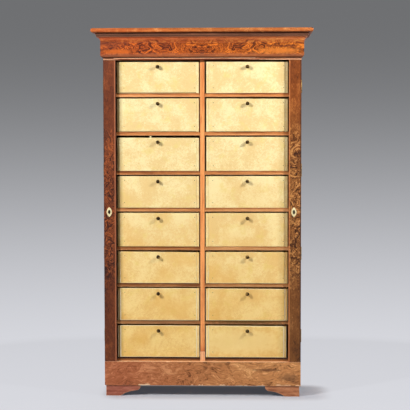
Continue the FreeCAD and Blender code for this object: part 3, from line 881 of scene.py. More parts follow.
# %% Sections and paths


def closed_section(rows, behind=0.0, margin=2.5 * MM, ease=0.6 * MM):
    """Section in metres from rows of projection and height in millimetres, and wear.

    It is closed along the body's face or behind it. A row with a wear of 1 is an edge and becomes
    three points round it, with one more further off on each side where the wear has ended. A wear
    of 0 is plain and -1 is painted shade: a dark line in a groove or under an overhang.
    """
    heights = [row[1] for row in rows]
    rows = np.array(rows + [(-behind, min(heights), 0), (-behind, max(heights), 0)], float)
    spots = rows[:, :2] * MM
    made = []
    for k, wear in enumerate(rows[:, 2]):
        back, ahead = unit(spots[[k - 1, (k + 1) % len(spots)]] - spots[k])
        offsets = (((back * margin, 0), (back * ease, 1), ((back + ahead) * ease * 0.3, 1),
                    (ahead * ease, 1), (ahead * margin, 0)) if wear == 1 else ((0, wear),))
        made += [[*(spots[k] + offset), worn] for offset, worn in offsets]
    return np.array(made)


def swept(section, path, base, lift):
    """Section of projection, height and wear carried along a path in plan.

    The path runs with the outside on its right hand, seen from above. The point is the path's
    place + projection * mitre in plan, at base + height.
    """
    outward = normals(np.diff(path, axis=0))
    mitre = mitres(np.vstack([outward[:1], outward]), np.vstack([outward, outward[-1:]]))
    plan = path[:, None, :] + section[None, :, :1] * mitre[:, None, :]
    depth, height, wear = (np.broadcast_to(column, plan.shape[:2]) for column in section.T)
    height = base + height
    across = np.abs(plan[..., 0])
    across = across - 0.5 * across ** 2 + (plan[..., 1] - path[:, None, 1].min()) * 0.5
    grain = np.dstack([across, height, 0.5 * depth])
    return new_part(np.dstack([plan, height]).reshape(-1, 3), ring_faces(len(path), len(section)),
                    wear.reshape(-1), grain.reshape(-1, 3) + lift)


print("a section of two points closes with", len(closed_section([(1, 0, 0), (1, 9, 0)])), "points")

# %% [markdown]
# From the top down the cornice has a neck with two small steps, a deep cove, a flat frieze and a
# half round at its foot. Each is a section of its own, so that each can have its own veneer. The
# arcs of the cove and of the half round are given by three points each, as one would take them
# from a drawing.

# %% Cornice moulding
QUARTER = math.sqrt(0.5)
torus_arc = arc_points((11, 19.8), (11 * QUARTER, 20 - 20 * QUARTER), (1.2, 1.2), 8)
cove_arc = arc_points((24.2, 94.4), (25 - 14 * QUARTER, 69 + 26 * QUARTER), (11, 69.2), 9)
# wear below 0: painted shade under the slab, in the neck's quirk, atop the cove, at the torus foot
SECTIONS = {
    "neck": closed_section([(30.5, 114, -1), (30.5, 112.2, -0.4), (30.5, 109.5, 0),
                            (30.5, 102.2, 1), (28.6, 101.8, -1), (27.5, 101, -1),
                            (27.5, 99, 0), (27.5, 95, 1)]),
    "cove": closed_section([(25, 94.7, -1), (25, 93.4, 0)]
                           + [(*point, 0) for point in cove_arc[1:]]),
    "frieze": closed_section([(11, 68.9, 0), (11, 20.2, 0)]),
    "torus": closed_section([(10.9, 20.0, 0)] + [(*point, 0) for point in torus_arc]
                            + [(0.6, 0.7, -0.8), (0.2, 0.1, -1)], behind=4),
}
front_path = [(x, STILE_FRONT) for x in np.linspace(-HALF_WIDTH, HALF_WIDTH, 9)]
path = np.array([(-HALF_WIDTH, BODY_BACK)] + front_path + [(HALF_WIDTH, BODY_BACK)])
for name, section in SECTIONS.items():
    run = swept(section, path, CORNICE_BASE, (0.31, 0.2, 0.4))
    make_piece("cornice_" + name, [run], WOODS.get(name, WOODS["frieze"]),
               "cornice_moulding", smooth_angle=32)

RECESS = 4.4 * MM
outline = rectangle(-HALF_WIDTH + RECESS, HALF_WIDTH - RECESS, CORNICE_BASE + 0.4 * MM,
                    CORNICE_TOP - 0.4 * MM, 2)
backing = front_board(outline, STILE_FRONT + RECESS, CARCASE_FRONT, seed=3)
make_piece("cornice_backing", [backing], WOODS["pine"])
print("cornice carried along", len(path), "places")

# %% [markdown]
# The top is one slab with a thumb moulding on the front and both ends. It is a plain board whose
# rounded edge reaches much further in than usual, except at the back, where it is cut square. The
# thin rail under the cornice is a board too, pale along the middle of its upper edge from wear and
# painted highlight, with painted shade on its lower part and, near its ends, painted shade on top
# and a painted highlight lower down.

# %% Slab and thin rail
low, high = corners("cornice_top")
slab = plan_board(rectangle(low[0], high[0], low[1], high[1], 0.12), low[2], high[2], ease=8.9 * MM,
                  margin=15 * MM, square=(1, high[1]), seed=11, steps=9)
make_piece("top_slab", [slab], WOODS["slab"], "cornice_top")

low, high = corners("fillet_rail")
thin_rail = front_board(rectangle(low[0], high[0], low[2], high[2], 0.02), low[1], high[1],
                        ease=1.2 * MM, seed=12)
x, _, z = thin_rail["points"].T
# the pale upper edge is wear and painted highlight, kept only where the highlight falls
thin_rail["wear"][(z < (low[2] + high[2]) / 2) | (x < -0.4) | (x > 0.24)] = 0
make_piece("thin_rail", [thin_rail], WOODS["rail"], "fillet_rail")
print("thin rail from z = %.4f to %.4f m" % (low[2], high[2]))

# %% [markdown]
# ## Plinth
#
# The plinth is a pine box faced with thick veneer. Floors are damp and shoes are hard, so the
# veneer has broken away along its lower edge. A bump could only hint at that. Two layers show it
# best: a core, and in front of it a thin board whose lower outline is raised here and there by a
# random set of bites.

# %% Plinth


def bites(places, count, seed, deepest, widest, crowd=1.0):
    """How far an edge has broken away at each place.

    It is the largest of a number of arches depth * sqrt(1 - (distance / width) ** 2), with
    random centres, widths and depths; crowd above 1 gathers them towards the far end.
    """
    chance = np.random.default_rng(seed)
    low, high = places.min(), places.max()
    centre = low + (high - low) * chance.uniform(0, 1, count) ** (1 / crowd)
    width = chance.uniform(0.15, 1, count) * widest
    depth = chance.uniform(0.3, 1, count) ** 1.5 * deepest
    reach = 1 - ((places[:, None] - centre) / width) ** 2
    rough = chance.uniform(0, 0.35 * MM, len(places))
    return np.max(depth * np.sqrt(np.clip(reach, 0, 1)), axis=1) + rough


VENEER = 1.2 * MM
SIDE_THICKNESS = 21 * MM
REAR_THICKNESS = 22 * MM
low_x = np.arange(-HALF_WIDTH, HALF_WIDTH + MM, 2.5 * MM)
low_x[-1] = HALF_WIDTH
low_z = PLINTH_BASE + bites(low_x, 26, 5, 9 * MM, 14 * MM, 1.8)
high_x = low_x[::-1]
high_z = PLINTH_TOP - bites(high_x, 9, 8, 2.4 * MM, 10 * MM)
face_outline = np.column_stack([np.append(low_x, high_x), np.append(low_z, high_z)])
core_front = STILE_FRONT + VENEER
face = front_board(face_outline, STILE_FRONT, core_front, ease=0.3 * MM, margin=1.0 * MM, seed=21)
outline = rectangle(-HALF_WIDTH + VENEER, HALF_WIDTH - VENEER, PLINTH_BASE + 0.2 * MM,
                    PLINTH_TOP - 0.3 * MM, 0.05)
core = front_board(outline, core_front, STILE_FRONT + 24 * MM, seed=22)
outline = rectangle(core_front + 0.05 * MM, BODY_BACK, PLINTH_BASE, PLINTH_TOP, 0.05)
flanks = [flank_board(outline, *sorted((sign * HALF_WIDTH, sign * (HALF_WIDTH - SIDE_THICKNESS))),
                      grain=1, seed=23 + sign) for sign in SIDES.values()]
outline = rectangle(-HALF_WIDTH + REAR_THICKNESS, HALF_WIDTH - REAR_THICKNESS, PLINTH_BASE,
                    PLINTH_TOP, 0.1)
rear = front_board(outline, BODY_BACK - REAR_THICKNESS, BODY_BACK, seed=26)
for name, parts, key in (("face", [face], "plinth"), ("core", [core], "core"),
                         ("sides", flanks, "plinth"), ("rear", [rear], "pine")):
    make_piece("plinth_" + name, parts, WOODS[key], "plinth")
print("plinth face has", len(face_outline), "outline points")

# %% [markdown]
# ## Bracket feet
#
# A bracket foot is sawn from a board: straight down at the corner, a shallow arch, then a small
# quarter round at the toe. Both brackets of a corner have the same outline, one seen from the
# front and one from the side, so one function draws it in either direction.

# %% Feet
FOOT_HEIGHT = 50 * MM
FOOT_INSET = 5.5 * MM
THICK = 22 * MM
TOE = 19


def bracket(length, start, sign):
    """Outline of one bracket; distances in millimetres run from start in the direction of sign."""
    toe_start, toe_top, top = length - TOE, 25 + TOE, FOOT_HEIGHT / MM
    arch = arc_points((67, 0), ((67 + toe_start) / 2 - 0.8, 17.5), (toe_start, 25), 9)
    toe = arc_points((toe_start, 25), (toe_start + TOE * QUARTER, toe_top - TOE * QUARTER),
                     (length, toe_top), 8)
    rows = np.concatenate([[[0, top], [0, 25], [0, 0], [35, 0]], arch, toe[1:],
                           [[length, top], [length / 2, top]]])
    return rows * [sign * MM, MM] + [start, 0]


foot_outer = HALF_WIDTH - FOOT_INSET
foot_front = STILE_FRONT + FOOT_INSET
foot_back = BODY_BACK - FOOT_INSET
eased = {"ease": 1.2 * MM}
front_feet, back_feet = [], []
for sign in SIDES.values():
    outer = sign * foot_outer
    span = sorted((sign * (foot_outer - THICK), outer))
    rear = rectangle(*sorted((outer, outer - sign * 100 * MM)), 0, FOOT_HEIGHT, 0.03)
    front_feet += [
        front_board(bracket(159, outer, -sign), foot_front, foot_front + THICK, seed=31 + sign,
                    **eased),
        flank_board(bracket(98, foot_front + THICK, 1), *span, grain=1, seed=33 + sign, **eased)]
    back_feet += [
        flank_board(bracket(98, foot_back - THICK, -1), *span, grain=1, seed=36 + sign, **eased),
        front_board(rear, foot_back - THICK, foot_back, seed=39 + sign)]
make_piece("feet_front", front_feet, WOODS["foot"], "front_feet")
make_piece("feet_back", back_feet, WOODS["foot"], "back_feet")
print("four feet made")

# %% [markdown]
# ## Carcase boards
#
# Shelves, divider and back are plain boards, but they are seen end-on between the boxes, so each
# gets its own grain, tone and slightly rounded front edge. The outlines come from the frame: the
# shelves narrow between the posts and reach into the side panels behind them.

# %% Shelves
HOUSING = 6 * MM
SEAT_GAP = 0.3 * MM
SHELF_THICKNESS = 17 * MM
DEEP_INNER, DEEP_OUTER = DIVIDER_FACE - HOUSING, SIDE_INNER + HOUSING
OUTER_SIDE = [[POST_INNER, CARCASE_FRONT], [POST_INNER, POST_BACK], [DEEP_OUTER, POST_BACK],
              [DEEP_OUTER, BACK_PLANE]]
SHELF_PLAN = np.array([[DIVIDER_FACE, CARCASE_FRONT], *OUTER_SIDE, [DEEP_INNER, BACK_PLANE],
                       [DEEP_INNER, POST_BACK], [DIVIDER_FACE, POST_BACK]])
# from the top down, how much lighter than the rest a shelf is, and the shade painted on its upper
# edge
SHELF_TONES = {"left": (1, 0, -0.8, 0, -2.2, -2.5, -1.4), "right": (0, 0, 0.4, 1.5, 2.5, 0, -1.8)}
SHELF_PAINTED_SHADE = {"left": (0.1, 0.1, 0.4, 0.9, 0.1, 0.3, 0.3), "right": [0.1] * 6 + [0.6]}
for side, sign in SIDES.items():
    shelves = []
    for row, tone, painted_shade in zip(ROWS, SHELF_TONES[side], SHELF_PAINTED_SHADE[side]):
        seat = corners("drawer_left_%d" % row)[0][2] - SEAT_GAP
        shelf = plan_board(walk(SHELF_PLAN * [sign, 1], 0.06), seat - SHELF_THICKNESS, seat,
                           ease=1.3 * MM, seed=40 + 10 * row + sign)
        height = shelf["points"][:, 2]
        # painted shade on the upper half of the edge, under the box it carries; painted light below
        shelf["tone"] = np.where(height > seat - SHELF_THICKNESS / 2, -2.2, 1.6) + tone
        # painted shadow line along the top of the edge
        shelf["wear"][height > seat - 1.6 * MM] = -painted_shade
        shelves.append(shelf)
    make_piece("shelf_boards_" + side, shelves, WOODS["shelf"], "shelves_" + side)
print(len(shelves), "shelves on each side")

# %% [markdown]
# The bottom board fills the whole plan, so half of its outline is written down and the other half
# is its mirror image. The divider stands on it with the grain upright, and a block of paler wood
# is pieced into its lower front corner.

# %% Bottom and divider
BLOCK_BACK = CARCASE_FRONT + 12 * MM
BLOCK_TOP = PLINTH_TOP + 44 * MM
half = np.array([[DIVIDER_FACE, BLOCK_BACK], [DIVIDER_FACE, CARCASE_FRONT], *OUTER_SIDE])
outline = np.roll(np.concatenate([half, (half * [-1, 1])[::-1]]), 3, axis=0)
bottom = plan_board(walk(outline, 0.06), PLINTH_TOP, BOTTOM_SEAT, seed=61)
height = bottom["points"][:, 2]
# painted shade under the boxes: the edge darker, most on its upper half, and a near black top line
bottom["tone"] = np.where(height > (PLINTH_TOP + BOTTOM_SEAT) / 2, -5.0, -0.5)
bottom["wear"][height > BOTTOM_SEAT - 4.5 * MM] = -1
outline = [[BLOCK_BACK, BOTTOM_SEAT], [BACK_PLANE, BOTTOM_SEAT], [BACK_PLANE, BAYS_TOP],
           [CARCASE_FRONT, BAYS_TOP], [CARCASE_FRONT, BLOCK_TOP], [BLOCK_BACK, BLOCK_TOP]]
divider = flank_board(walk(outline, 0.03), -DIVIDER_FACE, DIVIDER_FACE, ease=1.1 * MM, grain=2,
                      seed=62)
# painted shade of the gaps beside the boxes, along both faces of the divider
divider["wear"][np.abs(divider["points"][:, 0]) > DIVIDER_FACE - 1.5 * MM] = -0.6
block = front_board(rectangle(-DIVIDER_FACE, DIVIDER_FACE, PLINTH_TOP, BLOCK_TOP - 0.2 * MM, 0.01),
                    CARCASE_FRONT, BLOCK_BACK, grain=2, seed=63)
make_piece("bottom_board", [bottom], WOODS["shelf"], "carcase_bottom")
make_piece("divider", [divider], WOODS["divider"], "centre_partition")
make_piece("divider_block", [block], WOODS["block"], "centre_partition")
print("divider from x = %.4f to %.4f m" % (-DIVIDER_FACE, DIVIDER_FACE))

# %% [markdown]
# The back is six pine planks side by side. Each is a board with its own grain and eased edges, so
# the joints between them show as lines.

# %% Back planks
low, high = corners("back_boards")
edges = np.linspace(low[0], high[0], 7)
back = [front_board(rectangle(x0 + 0.3 * MM, x1 - 0.3 * MM, low[2], high[2], 0.12), low[1], high[1],
                    ease=1.5 * MM, grain=2, seed=70 + n)
        for n, (x0, x1) in enumerate(zip(edges, edges[1:]))]
make_piece("back_planks", back, WOODS["pine"], "back_boards")
print("back made of", len(back), "planks")

# %% [markdown]
# ## Veneered parts that stay as they are
#
# The stiles, posts and side panels have recesses for hinges and locks that must stay exact, so the
# frame's own meshes are used. Where an edge is eased, the loose triangles are welded first and a
# bevel rounds it.

# %% Frame nodes with a finish


def dress(node, material, ease=None):
    """Show a frame node with a material; ease rounds its edges by that much."""
    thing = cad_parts[node]
    thing.data.materials.clear()
    thing.data.materials.append(material)
    if ease:
        weld = thing.modifiers.new("weld", "WELD")
        weld.merge_threshold = 0.02 * MM
        bevel = thing.modifiers.new("ease", "BEVEL")
        bevel.width = ease
        bevel.segments = 2
        bevel.limit_method = "ANGLE"
        bevel.angle_limit = math.radians(35)


for side in SIDES:
    dress("side_panel_" + side, WOODS["panel_" + side], 0.8 * MM)
    dress("front_post_" + side, WOODS["post_" + side])
    dress("stile_" + side, WOODS["stile_" + side])
    dress("stile_hinge_leaves_" + side, HINGE_BRASS)
    dress("lock_case_" + side, LOCK_STEEL, 0.5 * MM)
    dress("lock_bolt_" + side, LOCK_STEEL, 0.4 * MM)
dress("carcase_hinge_leaves", HINGE_BRASS)
dress("carcase_top", WOODS["carcase_top"])
dress("drawer_guides", WOODS["drawer_guides"], 0.8 * MM)
print("frame nodes dressed")

# %% [markdown]
# ## Escutcheons
#
# An escutcheon is a thin pointed oval stamped from sheet brass, slightly domed, with the keyhole
# punched through. A Boolean would leave long thin faces round the hole. Instead both outlines are
# described with the same number of points by their angle, and the surface is the blend between
# them: height rises in a gentle dome and falls at both rims.

# %% Escutcheons


def pointed_oval(cosine, sine, half_wide, half_tall):
    """Distance to two arcs that meet in a point above and below, for each angle a.

    The centre of each arc lies a shift s past the middle, so the distance is
    sqrt(radius ** 2 - (s sin a) ** 2) - s |cos a|.
    """
    radius = (half_tall ** 2 + half_wide ** 2) / (2 * half_wide)
    shift = radius - half_wide
    return -shift * np.abs(cosine) + np.sqrt(radius ** 2 - (shift * sine) ** 2)


def keyhole_line(cosine, sine, bore, half_slot, slot):
    """Distance to the rim of a keyhole, for each angle a round a spot below its round hole.

    The centre of the hole is c above the spot, so its rim is at
    c sin a + sqrt(bore ** 2 - (c cos a) ** 2). The sides of the slot are at half_slot / |cos a|
    and its end is at (c + bore) / -sin a.
    """
    centre = slot / 2
    ray = centre * sine + np.sqrt(np.maximum(bore ** 2 - (centre * cosine) ** 2, 0))
    slot_side = half_slot / np.maximum(np.abs(cosine), 1e-6)
    slot_end = (slot / 2 + bore) / np.maximum(-sine, 1e-6)
    in_slot = np.minimum(slot_side, np.where(sine < 0, slot_end, 1e3))
    meets_bore = centre ** 2 * cosine ** 2 <= bore ** 2
    return np.where((sine > -0.2) & meets_bore, np.maximum(ray, in_slot * (sine < 0)), in_slot)


def domed_plate(centre, proud, thickness, count=96):
    """Plate between an oval rim and a keyhole, domed in front, flat behind.

    A point lies at rim + (hole - rim) * share from the middle, with a height for each share.
    """
    angles = (np.arange(count) + 0.5) / count * 2 * math.pi
    cosine, sine = np.cos(angles), np.sin(angles)
    rim = pointed_oval(cosine, sine, 12 * MM, 23 * MM)
    hole = keyhole_line(cosine, sine, 4.5 * MM, 2.7 * MM, 10 * MM)
    # share of the way from rim to hole, and height above the back as a share of the thickness
    rings = np.array([[0, 0], [0, 0.35], [0.03, 0.62], [0.12, 0.72], [0.4, 0.93], [0.75, 1.0],
                      [0.94, 0.97], [1, 0.88], [1, 0.5], [1, 0]])
    reach = rim + (hole - rim) * rings[:, :1]
    depth = np.broadcast_to(thickness * (1 - rings[:, 1:]) - proud, reach.shape)
    points = np.dstack([reach * cosine, depth, reach * sine]).reshape(-1, 3) + centre
    last = (len(rings) - 1) * count
    faces = ring_faces(len(rings), count, caps=False)
    faces += [[j, last + j, last + (j + 1) % count, (j + 1) % count] for j in range(count)]
    return new_part(points, faces)


for side in SIDES:
    low, high = corners("escutcheon_" + side)
    centre = ((low[0] + high[0]) / 2, STILE_FRONT, (low[2] + high[2]) / 2)
    plate = domed_plate(centre, 0.9 * MM, 1.6 * MM)
    # the plate is painted near black round its keyhole, as the shade of the hole
    brass = metal("plate brass " + side, (244, 228, 176), (206, 180, 118), 0.3, 0.42, shine=0.25,
                  painted_shade=(centre, (6.0 * MM, 1, 9.5 * MM)))
    make_piece("keyhole_plate_" + side, [plate], brass, "escutcheon_" + side,
               "stile_" + side, smooth_angle=50)
print("two escutcheons at", round(centre[2], 3), "m")

# %% [markdown]
# ## Boxes
#
# Each box is five boards covered with paper. No two boxes made by hand are alike, so each gets its
# own small differences: a little narrower, a little lower, a hair of tilt. They never leave the
# space that the frame gives them. Moving the points of the finished boards keeps the walls as
# thick as they were.

# %% Box boards


def settled(part, low, high, drops, degrees):
    """A part whose top drops at the left and at the right end, tilted in the plane of the front.

    A point falls by the drop at its x times its share of the height. Then it turns by an angle t
    about the middle of the bottom, to (x cos t - z sin t, x sin t + z cos t).
    """
    x, _, z = part["points"].T
    drop = drops[0] + (drops[1] - drops[0]) * (x - low[0]) / (high[0] - low[0])
    z -= (z - low[2]) / (high[2] - low[2]) * drop * MM
    turn = math.radians(degrees)
    middle = (low[0] + high[0]) / 2
    across, up = x - middle, z - low[2]
    x[:] = middle + across * math.cos(turn) - up * math.sin(turn)
    z[:] = low[2] + across * math.sin(turn) + up * math.cos(turn)
    return part


def egg_box(low, high, seed, lip, left_side_shade):
    """Front and back set between the sides, over a bottom.

    lip is how much of the bottom shows below the front; without one the front covers it. The
    left side board has a tone of its own: on boxes beside the left stile, painted shade of that
    stile.
    """
    x0, y0, z0 = low
    x1, y1, z1 = high
    gap = 0.5 * MM
    wall = 11.5 * MM
    inner = (x0 + wall + gap, x1 - wall - gap)
    floor = z0 + lip - gap if lip else z0 + 8 * MM
    bottom = rectangle(*inner, y0 + (0.6 if lip else 12.2) * MM, y1, 0.1)
    side = rectangle(y0, y1, z0, z1, 0.06)
    front = rectangle(*inner, z0 + lip, z1, 0.03)
    back = rectangle(*inner, floor + gap, z1, 0.03)
    boards = []
    for n, (kind, outline, start, end, tone) in enumerate((
            (front_board, front, y0, y0 + 12 * MM, 0), (front_board, back, y1 - 10 * MM, y1, 0),
            (flank_board, side, x0, x0 + wall, left_side_shade), (flank_board, side, x1 - wall, x1, 0),
            (plan_board, bottom, z0, floor, -0.5))):
        boards.append(kind(outline, start, end, ease=(0.8 if n == 4 else 1.1) * MM, seed=seed + n))
        boards[-1]["tone"][:] = tone
    boards[4]["wear"] *= 0
    return boards


print("boards of a small box:", len(egg_box((0, 0, 0), (0.2, 0.3, 0.1), 0, 0, 0.0)))

# %% [markdown]
# ## Knobs and pins
#
# Each box has a turned brass knob with a nut inside, and four small pins through its front. A knob
# is a profile turned about the axis that points at the viewer: a flat rosette, a waisted neck, and
# a ball, whose profile is part of a circle.

# %% Knobs and pins


def fitting(rows, centre, count, seed):
    """Part turned about an axis that points forward, from rows of radius and distance in mm."""
    return turned(np.array(rows) * MM, centre, (0, -1, 0), count, seed)


PIN = [(0.05, -0.4), (1.6, -0.4), (1.6, 0.0), (1.3, 0.2), (0.6, 0.32), (0.05, 0.35)]
# a knob is a rosette, a waisted neck and a ball, with a nut inside the box
turn = np.linspace(math.radians(157), 0, 14)[:-1]
KNOB = [(0.1, 0), (6.1, 0), (6.5, 0.3), (6.5, 0.9), (6.1, 1.35), (5.0, 1.5), (4.1, 1.8), (3.4, 3.0),
        (3.3, 4.2), *zip(8.75 * np.sin(turn), 13.55 + 8.75 * np.cos(turn)), (0.1, 22.3)]
NUT = [(0.1, -15.2), (2.2, -15.2), (2.4, -15.0), (5.4, -15.0), (6.0, -14.5), (6.0, -12.4),
       (5.6, -12.0), (0.1, -12.0)]
print("a knob stands", KNOB[-1][1], "mm proud")

# %% [markdown]
# Some boxes have sunk a few millimetres at one end, and some show the edge of their bottom. These
# are small tables, and everything else comes from one seeded random source, so each run gives the
# same sixteen boxes.

# %% Sixteen boxes
# how far, in mm, the top of a box drops at its left and at its right end, and which boxes show how
# many mm of their bottom below the front
TOP_DROPS = {"left_1": (1.5, 3), "left_3": (3.5, 5), "left_6": (0.5, 4), "left_8": (1.5, 1.5),
             "right_1": (0.2, 3.4), "right_2": (0.6, 3), "right_6": (2, 2), "right_7": (1, 3),
             "right_8": (1, 3)}
SHOWN_BOTTOMS = {"left_1": 4.5, "left_2": 2.5, "right_2": 1.5}
chance = np.random.default_rng(1887)
for side in SIDES:
    for row in ROWS:
        key = "%s_%d" % (side, row)
        node = "drawer_" + key
        low, high = corners(node)
        squeeze = chance.uniform(0.1, 0.7, 3) * MM
        squeeze[1] += 5 * MM if key == "right_8" else 0
        squeeze[0] += 2.5 * MM if side == "right" and row < 4 else 0
        low += [squeeze[0], 0, 0.25 * MM]
        high -= [squeeze[1], 0, squeeze[2]]
        tilt = chance.uniform(-0.04, 0.04)
        drops = TOP_DROPS.get(key, (0.2, 0.2))
        seed = 100 + row * 12 + (6 if side == "right" else 0)
        # boxes on the left get painted shade of the stile on their left side board
        boards = egg_box(low, high, seed, SHOWN_BOTTOMS.get(key, 0) * MM,
                         -0.3 if side == "left" else 0.0)
        make_piece("box_" + key, [settled(part, low, high, drops, tilt) for part in boards], PAPER,
                   node, node)
        x, _, z = sum(corners("knob_" + key)) / 2
        knob = [fitting(KNOB, (x, low[1], z), 32, seed), fitting(NUT, (x, low[1], z), 6, seed)]
        make_piece("ball_knob_" + key, knob, KNOB_BRASS, "knob_" + key, node)
        pins = [fitting(PIN, (x, low[1], z), 14, seed)
                for x in (low[0] + 32 * MM, high[0] - 20 * MM)
                for z in (low[2] + 24 * MM, high[2] - 20 * MM)]
        make_piece("pins_" + key, pins, PIN_IRON, body=node)
print("sixteen boxes made")

# %% [markdown]
# One loose scrap of paper stands up above the third box on the left. It is a board like the
# others, less than half a millimetre thick.

# %% A paper scrap
(_, front, _), (_, _, top) = corners("drawer_left_3")
tab = front_board(rectangle(-0.2425, -0.2355, top - 9 * MM, top + 4 * MM, 0.004),
                  front - 0.5 * MM, front - 0.1 * MM, ease=0.15 * MM, margin=1 * MM, seed=9)
tab["tone"] *= 0
make_piece("paper_tab", [tab], PAPER, body="drawer_left_3")
print("paper scrap at z = %.3f m" % top)

# %% [markdown]
# ## Screws
#
# The hinges and locks are only seen when a stile is open, which is when people look closely. Their
# screws are turned heads with a slot, made of two halves of a disc with a gap between them, which
# needs no cutting and leaves the slot with clean sides.

# %% Screw heads


def screw(centre, out, angle, radius=2.4 * MM):
    """Countersunk head with a slot: two D-shaped halves over a thin disc.

    A half is the arc radius * (cos t, sin t) from one end of the slot's edge to the other.
    """
    out = np.asarray(out, float)
    up = np.array([0, 0, 1.0])
    u = math.cos(angle) * np.cross(up, out) + math.sin(angle) * up
    start = math.asin(0.35 * MM / radius)
    bow = np.linspace(start, math.pi - start, 11)
    cap = np.stack([np.cos(bow), np.sin(bow)], axis=1) * radius
    halves = [board(cap * flip, (u, np.cross(out, u), out), centre + out * 0.03 * MM, 0.12 * MM,
                    ease=0.04 * MM, margin=0.4 * MM) for flip in (1, -1)]
    rim = radius / MM
    disc = np.array([(0.02, -0.3), (rim, -0.3), (rim, 0.03), (0.02, 0.03)]) * MM
    return halves + [turned(disc, centre, out, 20)]


print("a screw has", len(screw(np.zeros(3), (0, -1, 0), 0)), "parts")

# %% [markdown]
# Four brass hinges hold each stile, with three screws in each of their leaves, and four smaller
# screws hold each lock. The hinges are evenly spaced, so the ends of the frame's leaves give the
# height of every screw.

# %% Screw heads in place
HINGES = 4
LEAF_HEIGHT = 60 * MM
leaf_low, leaf_high = corners("carcase_hinge_leaves")
turns = np.random.default_rng(4)
for side, sign in SIDES.items():
    stile = "stile_" + side
    heads = {"carcase": [], stile: []}
    for bottom_z in np.linspace(leaf_low[2], leaf_high[2] - LEAF_HEIGHT, HINGES):
        for step, inset in ((10, 11), (30, 15), (50, 11)):
            x = sign * (HALF_WIDTH - inset * MM)
            z = bottom_z + step * MM
            angle = turns.uniform(0, math.pi, 2)
            heads["carcase"] += screw((x, CARCASE_FRONT, z), (0, -1, 0), angle[0])
            heads[stile] += screw((x, CARCASE_FRONT - 1 * MM, z), (0, 1, 0), angle[1])
    for body, parts in heads.items():
        make_piece("screws_%s_%s" % (body.split("_")[0], side), parts, HINGE_BRASS,
                   body=body)
    low, high = corners("lock_case_" + side)
    lock_screws = []
    for x in (low[0] + 5 * MM, high[0] - 5 * MM):
        for z in (low[2] + 6 * MM, high[2] - 6 * MM):
            lock_screws += screw((x, high[1], z), (0, 1, 0), turns.uniform(0, 3), 2.2 * MM)
    make_piece("lock_screws_" + side, lock_screws, LOCK_STEEL, body=stile)
print("screws set")

# %% [markdown]
# ## Studio
#
# The floor and a low wall all round are one sheet bent in a wide curve, so no line shows between
# them from any side. Its colour follows the direction of view: pale below, mid grey above. The
# camera sees that colour itself and not the light that falls on the sheet, so the ground stays
# even however the lamps stand, and only the shadows come from them.

# %% Floor and backdrop


def backdrop_sheet(count=96):
    """Round floor, quarter curve and low wall: one profile turned about Z, open at the top.

    The curve is (start + radius sin t, radius - radius cos t) for t from 0 to a right angle.
    """
    bend = np.linspace(0, math.pi / 2, 24)
    radius, start = 4.0, 24.0
    floor = [(reach, 0) for reach in (0.01, 1, 2, 4, 8, 16)]
    curve = np.stack([start + radius * np.sin(bend), radius - radius * np.cos(bend)], axis=1)
    profile = np.concatenate([floor, curve, [(start + radius, 7.5)]])
    shape = turned(profile, (0, 0, 0), (0, 0, 1), count)
    rim = len(shape["points"]) - count
    sheet = smooth_mesh("backdrop", shape["points"], [f for f in shape["faces"] if min(f) < rim])
    sheet.data.flip_normals()
    return sheet


def backdrop_material():
    """Matt floor that takes shadows, turning into a plain graded ground away from the object.

    For a ray that leaves the eye with slope s = -z of the Incoming vector, the plain colour is
    grey + (pale - grey) * step(s) ** 1.33. The camera sees that colour itself, and so do glossy
    and clear surfaces. Near the cabinet it also fills the shadows, all but those under it and
    close to its right foot. Under the front of the cabinet that fill is a faint bluish glow:
    painted light in the shadow there.
    """
    material, tree, place = new_material("backdrop paper")
    slope = along(add("NewGeometry", {}, tree)["Incoming"], 2)
    pale = fade(slope, -0.1, 0.2).step("POWER", 1.33)
    colour = mix(pale, (111, 112, 114), (218, 219, 225))
    matt = add("BsdfDiffuse", {"Color": srgb(206, 207, 214)}, tree)
    rays = add("LightPath", {}, tree)
    seen = (rays["Is Camera Ray"] + rays["Is Glossy Ray"]).step(
        "ADD", rays["Is Transmission Ray"], clamp=True)
    outside = (place - (0.06, STILE_FRONT + 0.1, 0)).step("ABSOLUTE")
    outside = (outside - (HALF_WIDTH - 0.02, 0.09, 0)).step("MAXIMUM", 0)
    distance = outside.step("LENGTH")["Value"]
    # a faint bluish glow, painted light in the shadow under the front of the cabinet
    plain = add("Emission", {"Color": mix(fade(distance, 0, 0.06), (178, 198, 222), colour),
                             "Strength": 1.0})
    filled = fade(distance, 0.03, 0.12, 0.08, 0.86)
    far = filled.step("MAXIMUM", fade(distance, 0.6, 1.7))
    return show(material, add("MixShader", {0: seen * far, 1: matt, 2: plain}))


backdrop = backdrop_sheet()
backdrop.data.materials.append(backdrop_material())
backdrop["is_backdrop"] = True
print("backdrop ready")

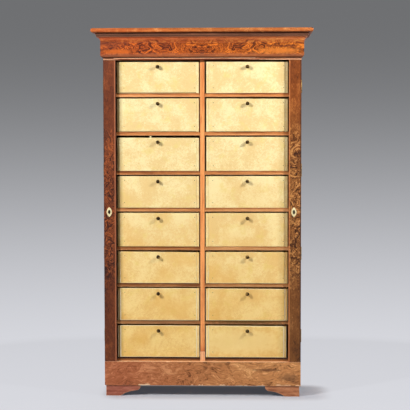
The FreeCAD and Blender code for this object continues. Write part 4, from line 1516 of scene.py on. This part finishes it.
# %% [markdown]
# ## Lamps
#
# A small lamp gives a hard shadow and a large one a soft shadow. Two small ones left and right
# draw a pair of shadows behind every knob, a wide one above fills in, and another lights the back.
# Each is placed by its direction and distance, because that is how one thinks of light, and a lamp
# shines along its own -Z, so Z points from the target to the lamp.

# %% Lamps


def lamp(name, azimuth, elevation, distance, size, power, target=(0, 0, 0.85)):
    """Square soft lamp; azimuth 0 is straight in front, positive to the right.

    Its place is target + distance * (sin a cos e, -cos a cos e, sin e), for azimuth a and
    elevation e, and it shines back towards the target.
    """
    a, e = math.radians(azimuth), math.radians(elevation)
    aim = Vector((math.sin(a) * math.cos(e), -math.cos(a) * math.cos(e), math.sin(e)))
    light = bpy.data.lights.new(name, "AREA")
    light.size = size
    light.energy = power
    made = new_object(name, light)
    made.location = Vector(target) + distance * aim
    made.rotation_euler = aim.to_track_quat("Z", "Y").to_euler()
    made.visible_camera = False


lamp("left lamp", -42, 27, 3.8, 0.2, 104)
lamp("right lamp", 54, 31, 2.5, 0.14, 37)
lamp("overhead", 0, 66, 4.5, 3.0, 5)
lamp("rear lamp", 180, 25, 5.0, 3.0, 110)

world = bpy.data.worlds.new("studio")
world.use_nodes = True
sky = world.node_tree.nodes["Background"].inputs
sky["Color"].default_value = srgb(215, 217, 222)
sky["Strength"].default_value = 0.06
print("four lamps set")

# %% [markdown]
# The camera stands six metres away, a little right of the middle, at the height of the chest, and
# looks slightly down and to the left. From that far the upright lines stay nearly parallel. The
# lens is a focal length in pixels, turned into millimetres on a sensor 36 mm wide.

# %% Camera
FOCAL, PIXELS = 1305.2, 410
yaw, pitch, roll = (math.radians(v) for v in (-2.085, -3.424, 0.078))
camera = new_object("camera", bpy.data.cameras.new("camera"))
camera.data.sensor_width = 36
camera.data.lens = FOCAL / PIXELS * 36
camera.location = (0.2317, -6.1645, 1.2504)
camera.rotation_euler = (math.pi / 2 + pitch, roll, -yaw)
scene = bpy.context.scene
scene.world = world
scene.camera = camera
scene.view_settings.view_transform = "Standard"
print("studio ready")

# %% Finish
low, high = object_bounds()
print("visual box", [round(v, 4) for v in low], [round(v, 4) for v in high])
